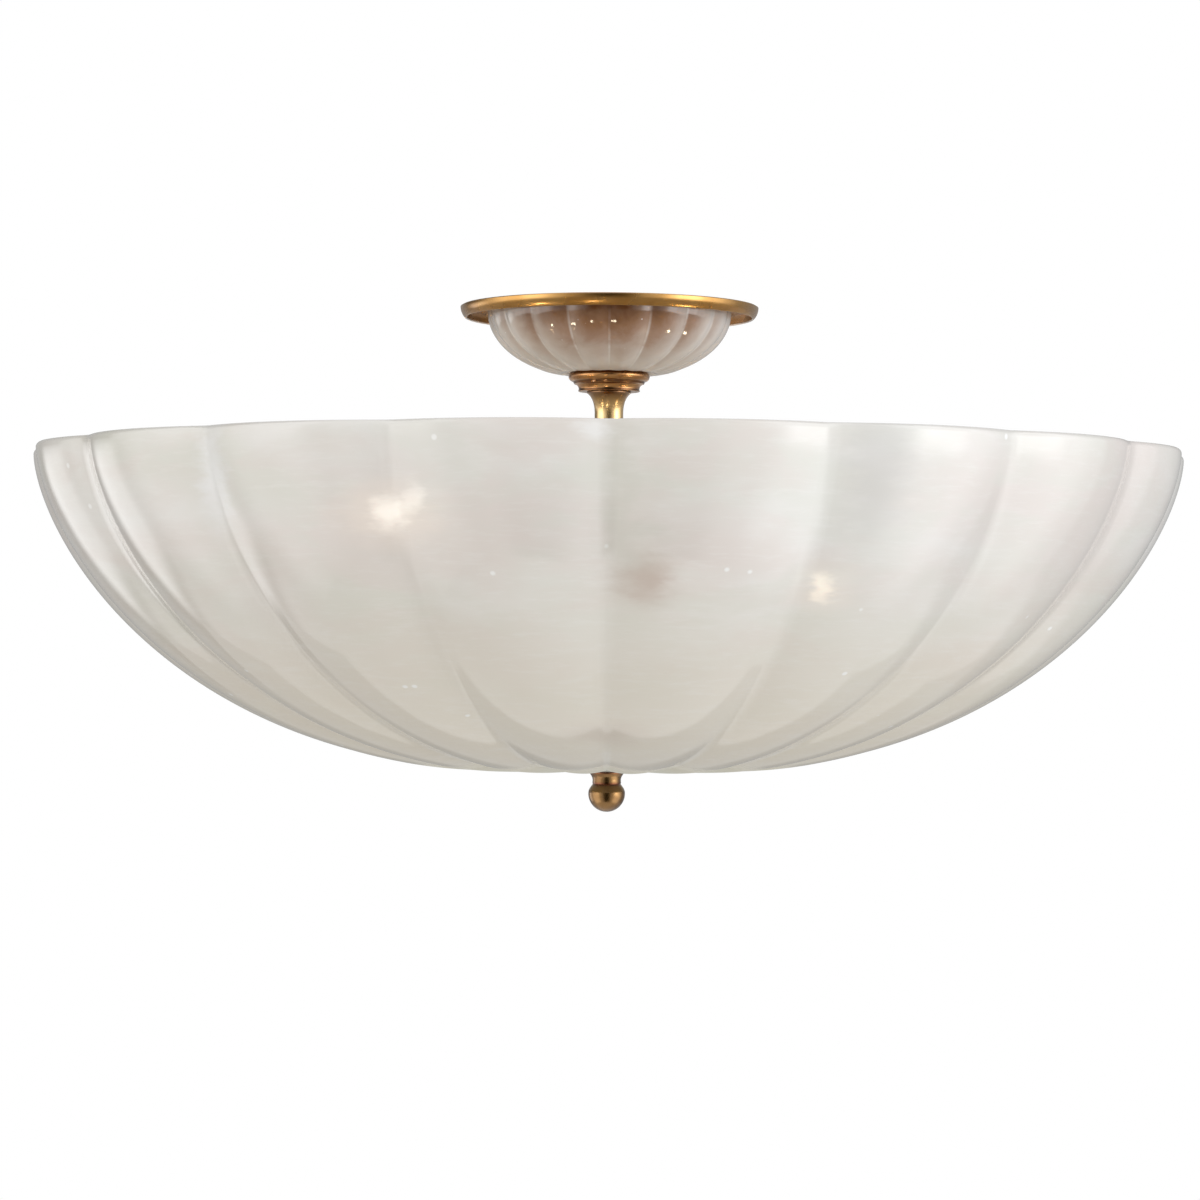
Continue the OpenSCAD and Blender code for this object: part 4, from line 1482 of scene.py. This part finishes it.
@dataclass
class Bowl:
    """The lobed glass bowl, what clamps it on the rod, and the finial.

    Painted into the glass is what would show through it and fall on it: painted glows of the lit
    lamps, painted shadows of the hub and the stem, painted shade and painted highlights where
    reflections fall, a pale patch under the rim, and pale paint round the foot.
    """

    form: LobedForm = LobedForm(
        rim_radius=296.3 * MM, rim_depth=81.25 * MM, height=166.75 * MM, floor_power=2.55, side_root=1.53,
        lobe_height=8.5 * MM, seat_radius=14 * MM, dimple_radius=110 * MM, dimple_height=2.6 * MM,
        hole_radius=6.5 * MM, wall=5.5 * MM, lip_rise=2.75 * MM, floor_rows=36, side_rows=66,
    )
    nut_bore: float = 5.0 * MM
    waist_r: float = 7.5 * MM
    waist_drop: float = 4.4 * MM
    waist_bead: float = 0.1 * MM
    groove_drop: float = 6.6 * MM
    groove_h: float = 0.5 * MM
    ball_r: float = 9.75 * MM
    ball_drop: float = 11.7 * MM
    shoulder_angle: float = 3.0
    shoulder_pull: float = 2.2 * MM
    groove_pull: tuple[float, float] = (0.4 * MM, 0.9 * MM)
    top_r: float = 9.25 * MM
    top_edge: tuple[float, float] = (0.3 * MM, 0.4 * MM)
    top_pull: tuple[float, float] = (0.2 * MM, 1.5 * MM)
    bore: float = 5.08 * MM
    rod_in_finial: float = 10.0 * MM
    # Painted glows of the lit lamps behind the glass: a halo and brighter cores for each.
    lamps: tuple[Spot, ...] = (
        Spot((-0.0996, -0.267, -0.121), (0.040, 0.09, 0.024), 0.10, "#ffe0b0"),
        Spot((-0.0996, -0.267, -0.121), (0.014, 0.05, 0.014), 0.28, "#fffdf4"),
        Spot((-0.0880, -0.271, -0.114), (0.008, 0.05, 0.013), 0.16, "#fffaf0"),
        Spot((0.1000, -0.245, -0.153), (0.024, 0.07, 0.020), 0.05, "#ffdcaa"),
        Spot((0.1000, -0.245, -0.153), (0.009, 0.05, 0.010), 0.24, "#ffeccc"),
        Spot((0.0, 0.285, -0.125), (0.036, 0.09, 0.024), 0.12, "#ffe4bc"),
        Spot((0.0, 0.285, -0.125), (0.013, 0.05, 0.013), 0.22, "#fff0d0"),
    )
    # Painted shadows, shades and highlights in the glass, and pale patches.
    painted_shade_and_highlight_spots: tuple[Spot, ...] = (
        # Painted shadow of the hub, in two parts.
        Spot((0.018, -0.285, -0.151), (0.022, 0.09, 0.020), 0.75, "#c6b2a3"),
        Spot((0.008, -0.29, -0.134), (0.024, 0.09, 0.030), 0.3, "#c9c8ba"),
        # Painted shade low in front, standing for a darker reflection over the finial.
        Spot((0.0, -0.17, -0.2240), (0.034, 0.07, 0.010), 0.25, "#c6aea2"),
        # Pale paint round the foot.
        Spot((0.0, 0.0, -0.247), (0.190, 0.190, 0.014), 0.8, "#eff2ea"),
        # Painted shade on the upper right, a painted dark reflection.
        Spot((0.124, -0.266, -0.100), (0.028, 0.07, 0.065), 0.5, "#cfcdc8"),
        # Painted highlight on the upper left.
        Spot((-0.185, -0.228, -0.105), (0.014, 0.03, 0.055), 0.55, "#fbfcff"),
        # Painted shadow of the stem.
        Spot((0.006, -0.29, -0.10), (0.012, 0.09, 0.10), 0.30, "#cfcdc0"),
        # A pale patch just under the rim.
        Spot((-0.006, -0.295, -0.084), (0.013, 0.05, 0.009), 0.7, "#f6f5f2"),
    )

    def make(self) -> None:
        """Builds and dresses every piece."""
        glass = self.form.shell("bowl_glass_blown")
        material = MilkGlass(glows=self.lamps, painted_spots=self.painted_shade_and_highlight_spots).material()
        finish_piece(glass, "bowl", material, ("bowl_glass",))
        _, low, high = span("bowl_stop_nut")
        nut = build("bowl_stop_nut_chamfered", [hex_nut(self.nut_bore, low, high)], sharp_angle=25)
        finish_piece(nut, "fixture", finish(Finish.STEEL), ("bowl_stop_nut",))
        dress(finish(Finish.STEEL), "check_plate")
        dress(finish(Finish.SOFT_WASHER), "upper_washer", "lower_washer")
        self.make_finial()

    def make_finial(self) -> None:
        """The turned finial: flared top, waist, groove and ball, round a blind hole."""
        top = span("finial")[2]
        centre = top - self.ball_drop
        groove = top - self.groove_drop
        outline = Outline(0, top - self.rod_in_finial).to(self.bore, top - self.rod_in_finial)
        outline.to(self.bore, top).to(self.top_r - self.top_edge[0], top)
        outline.to(self.top_r, top - self.top_edge[1])
        outline.curve(
            (self.top_r - self.top_pull[0], top - self.top_pull[1]),
            (self.waist_r + self.top_pull[0], top - self.waist_drop / 2),
            (self.waist_r, top - self.waist_drop),
            steps=18,
        )
        outline.to(self.waist_r + self.waist_bead, groove + self.groove_h)
        outline.to(self.waist_r - self.waist_bead, groove)
        shoulder = math.radians(self.shoulder_angle)
        join = np.array([self.ball_r * math.cos(shoulder), centre + self.ball_r * math.sin(shoulder)])
        along = np.array([-math.sin(shoulder), math.cos(shoulder)]) * self.shoulder_pull
        outline.curve(
            (self.waist_r + self.groove_pull[0], groove - self.groove_pull[1]),
            tuple(join + along),
            tuple(join),
            steps=12,
        )
        outline.arc(0, centre, self.ball_r, self.shoulder_angle, -90, steps=40)
        piece = build("finial_turned", [outline.turned(False, 128)], sharp_angle=35)
        finish_piece(piece, "finial", finish(Finish.FINIAL), ("finial",))


@dataclass(frozen=True)
class Zone:
    """A bright or dark part of the surroundings, as polished faces see it.

    Azimuths are in degrees from the front, positive to the camera's right. The zone is even inside
    its half width and half height, and fades out over its softness.
    """

    azimuth: float
    half_width: float
    elevation: float
    half_height: float
    softness: float
    brightness: float

    def paint(self, azimuth: np.ndarray, elevation: np.ndarray, so_far: np.ndarray) -> np.ndarray:
        """Mixes this zone's brightness into what is there so far.

        Args:
            azimuth: azimuths in degrees.
            elevation: elevations in degrees.
            so_far: the brightness at each of them.

        Returns:
            The new brightness.
        """
        aside = np.abs((azimuth - self.azimuth + 180) % 360 - 180) - self.half_width
        above = np.abs(elevation - self.elevation) - self.half_height
        share = LobedForm.smooth(1 - aside / self.softness) * LobedForm.smooth(1 - above / self.softness)
        return so_far + (self.brightness - so_far) * share


def background_share(add: partial) -> Socket:
    """Marks the rays that should meet the plain white background: camera, glossy and transmission.

    Args:
        add: add_node bound to a tree.

    Returns:
        1 for these rays and 0 for the others.
    """
    ray = add("LightPath").node.outputs
    seen = add("Math", {0: ray["Is Camera Ray"], 1: ray["Is Glossy Ray"]}, operation="MAXIMUM")
    return add("Math", {0: seen, 1: ray["Is Transmission Ray"]}, operation="MAXIMUM")


@dataclass(frozen=True)
class PaleFloor(Surface):
    """A matt pale floor paint, which turns to the background's white farther out."""

    name: str = "pale_floor"
    tint: str = "#efeeea"
    white_out: tuple[float, float] = (1.4, 3.0)

    def shader(self, add: partial) -> Socket:
        """Builds the shader: diffuse, with a white that grows with the distance from the middle.

        Args:
            add: add_node bound to the material's tree.

        Returns:
            The shader.
        """
        place = add("TexCoord", output="Object")
        flat = add("VectorMath", {0: place, 1: (1, 1, 0)}, operation="MULTIPLY")
        fade = add("MapRange", {
            "Value": add("VectorMath", {0: flat}, "Value", operation="LENGTH"),
            "From Min": self.white_out[0], "From Max": self.white_out[1],
        }, interpolation_type="SMOOTHSTEP")
        share = add("Math", {0: fade, 1: background_share(add)}, operation="MULTIPLY")
        matt = add("BsdfDiffuse", {"Color": linear(self.tint)})
        white = add("Emission", {"Color": linear("#ffffff"), "Strength": 1.0})
        return add("MixShader", {0: share, 1: matt, 2: white})


@dataclass(frozen=True)
class ReflectorGlow(Surface):
    """Lit white card, which glows as brightly as each point's mark says."""

    def shader(self, add: partial) -> Socket:
        """Builds the shader.

        Args:
            add: add_node bound to the material's tree.

        Returns:
            The shader.
        """
        level = add("Attribute", output="Fac", attribute_name=MARKS)
        return add("Emission", {"Color": linear("#ffffff"), "Strength": level})


@dataclass(frozen=True)
class Softbox:
    """A rectangular soft lamp that faces the light, and that polished faces don't show."""

    name: str
    place: Triple
    size: tuple[float, float]
    watts: float
    colour: str
    target: Triple = (0.0, 0.0, -0.15)

    def make(self) -> None:
        """Builds it: its -Z axis points from its place to its target."""
        data = bpy.data.lights.new(self.name, "AREA")
        data.shape = "RECTANGLE"
        data.size, data.size_y = self.size
        data.energy = self.watts
        data.color = linear(self.colour)[:3]
        lamp = bpy.data.objects.new(self.name, data)
        lamp.location = self.place
        way = np.array(self.target) - np.array(self.place)
        tilt = math.acos(-way[2] / np.linalg.norm(way))
        lamp.rotation_euler = (tilt, 0, math.atan2(way[1], way[0]) - math.pi / 2)
        lamp.visible_glossy = False
        bpy.context.scene.collection.objects.link(lamp)


@dataclass(frozen=True)
class Sparkle:
    """A point of light over a lit lamp, which only polished faces show, as a speck."""

    name: str
    place: Triple
    radius: float = 5 * MM
    watts: float = 0.028
    colour: str = "#fff0d0"

    def make(self) -> None:
        """Builds it."""
        data = bpy.data.lights.new(self.name, "POINT")
        data.shadow_soft_size = self.radius
        data.energy = self.watts
        data.color = linear(self.colour)[:3]
        lamp = bpy.data.objects.new(self.name, data)
        lamp.location = self.place
        lamp.visible_diffuse = False
        lamp.visible_transmission = False
        bpy.context.scene.collection.objects.link(lamp)


@dataclass
class Studio:
    """Camera at the photograph's place, soft lamps, pale floor, white surroundings and reflectors.

    The surround's and the skirt's reaches are the first and the last elevation and azimuth, in
    degrees. A glow is how bright a reflector looks in a reflection.
    """

    camera_distance: float = 1.9077
    camera_height: float = -0.1829
    lens: float = 107.58
    sensor: float = 36.0
    pitch: float = 0.014
    roll: float = -0.006
    shift_x: float = -0.00625
    ambient: float = 0.62
    floor_r: float = 9.0
    floor_z: float = -2.6
    softboxes: tuple[Softbox, ...] = (
        Softbox("key_softbox", (1.7, -1.5, 0.1), (1.1, 1.5), 22.0, "#f1f6ff"),
        Softbox("fill_softbox", (-1.6, -1.6, 0.4), (1.0, 1.4), 9.0, "#fffaf4"),
    )
    sparkles: tuple[Sparkle, ...] = (
        Sparkle("right_lamp_sparkle", (0.095, -0.055, -0.09)),
        Sparkle("left_lamp_sparkle", (-0.100, -0.085, -0.09)),
        Sparkle("middle_sparkle", (-0.028, -0.135, -0.09)),
    )
    surround_radius: float = 2.3
    surround_reach: tuple[float, float] = (-66.0, 78.0)
    table_z: float = -1.13
    table_r: float = 0.72
    table_centre: tuple[float, float] = (-0.05, 0.04)
    table_glow: float = 1.1
    skirt_top: float = -0.64
    skirt_gap: float = 0.05
    skirt_reach: tuple[float, float] = (124.0, 236.0)
    skirt_glow: float = 0.58
    zones: tuple[Zone, ...] = (
        Zone(0, 9, -5, 60, 25, 0.03),
        Zone(-72, 12, 5, 45, 24, 2.4),
        Zone(70, 12, 5, 45, 24, 2.6),
        Zone(8, 18, 55, 15, 14, 0.1),
        Zone(-132, 18, 14, 44, 8, 0.12),
        Zone(132, 18, 14, 44, 8, 0.4),
        Zone(180, 30, -2, 20, 12, 0.35),
        Zone(-122, 8, -14, 10, 10, 1.9),
        Zone(-62, 6, 6, 8, 12, 3.0),
        Zone(63, 7, 2, 8, 12, 4.8),
    )

    def make(self) -> None:
        """Builds everything that stands round the light."""
        self.make_camera()
        self.make_world()
        self.make_floor()
        for softbox in self.softboxes:
            softbox.make()
        self.make_surround()
        self.make_table()
        self.make_skirt()
        for sparkle in self.sparkles:
            sparkle.make()

    def make_camera(self) -> None:
        """A long lens level with the bowl, tipped up by the pitch and rolled as the photograph is."""
        data = bpy.data.cameras.new("photo_camera")
        data.lens = self.lens
        data.sensor_width = self.sensor
        data.shift_x = self.shift_x
        camera = bpy.data.objects.new("photo_camera", data)
        camera.location = (0, -self.camera_distance, self.camera_height)
        camera.rotation_euler = (math.pi / 2 + self.pitch, self.roll, 0)
        bpy.context.scene.collection.objects.link(camera)
        bpy.context.scene.camera = camera

    def make_world(self) -> None:
        """White for what the camera, gloss and glass see, and a softer even light for the rest."""
        world = bpy.data.worlds.new("white_room")
        world.use_nodes = True
        world.node_tree.nodes.clear()
        add = partial(add_node, world.node_tree)
        soft = add("Background", {"Color": linear("#ffffff"), "Strength": self.ambient})
        white = add("Background", {"Color": linear("#ffffff"), "Strength": 1.0})
        add("OutputWorld", {0: add("MixShader", {0: background_share(add), 1: soft, 2: white})})
        bpy.context.scene.world = world

    def make_floor(self) -> None:
        """A pale round floor that runs out into the white background."""
        floor = build("floor", [self.disc(self.floor_r, self.floor_z, 10)])
        floor.data.materials.append(PaleFloor().material())

    @staticmethod
    def disc(radius: float, level: float, rings: int) -> Patch:
        """Works out a flat round surface, as rings of points round its middle.

        Args:
            radius: its radius.
            level: its height.
            rings: the number of rings, the middle among them.

        Returns:
            The surface.
        """
        r = np.linspace(0, radius, rings)
        return turned(np.stack([r, 0 * r + level], axis=1), False, 96)

    def make_surround(self) -> None:
        """A sphere whose brightness at each azimuth and elevation comes from the zones."""
        rows, columns = np.linspace(*self.surround_reach, 73), np.arange(0, 360, 2.0)
        elevation, azimuth = np.meshgrid(rows, columns, indexing="ij")
        brightness = np.ones_like(azimuth)
        for zone in self.zones:
            brightness = zone.paint(azimuth, elevation, brightness)
        a, e = np.radians(azimuth), np.radians(elevation)
        sphere = np.stack([np.cos(e) * np.sin(a), -np.cos(e) * np.cos(a), np.sin(e)], axis=-1)
        points = self.surround_radius * sphere
        points[..., 2] += self.camera_height
        self.reflector("surround", Patch(points), brightness)

    def make_table(self) -> None:
        """A bright round table under the light."""
        table = self.disc(self.table_r, self.table_z, 12)
        table.points[..., :2] += self.table_centre
        self.reflector("table", table, np.full(table.points.shape[:2], self.table_glow))

    def make_skirt(self) -> None:
        """A darker curved wall that stands behind the table."""
        turn = np.radians(np.linspace(*self.skirt_reach, 40))
        height = np.linspace(self.table_z, self.skirt_top, 6)[:, None]
        r = self.table_r + self.skirt_gap
        x, y = r * np.sin(turn) + 0 * height, -r * np.cos(turn) + 0 * height
        wall = np.stack([x, y, height + 0 * turn], axis=-1)
        wall[..., :2] += self.table_centre
        glow = np.full(wall.shape[:2], self.skirt_glow)
        self.reflector("table_skirt", Patch(wall, columns_close=False), glow)

    @staticmethod
    def reflector(name: str, patch: Patch, brightness: np.ndarray) -> None:
        """Makes a glowing surface that only polished faces reflect, as a photographer's card or flag.

        Args:
            name: its name.
            patch: its shape.
            brightness: how bright each of its points looks in a reflection.
        """
        piece = build(name, [patch], marks=brightness)
        piece.data.materials.append(ReflectorGlow(name).material())
        piece.visible_camera = False
        piece.visible_diffuse = False
        piece.visible_transmission = False
        piece.visible_shadow = False


def main() -> None:
    """Builds the light from the ceiling down, and then the studio."""
    logging.basicConfig(level=logging.INFO, format="%(name)s %(message)s")
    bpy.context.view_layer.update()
    Studio().make()
    Canopy().make()
    Neck().make()
    LampCluster().make()
    Bowl().make()
    bpy.context.scene.view_settings.view_transform = "Standard"


if __name__ == "__main__":
    main()
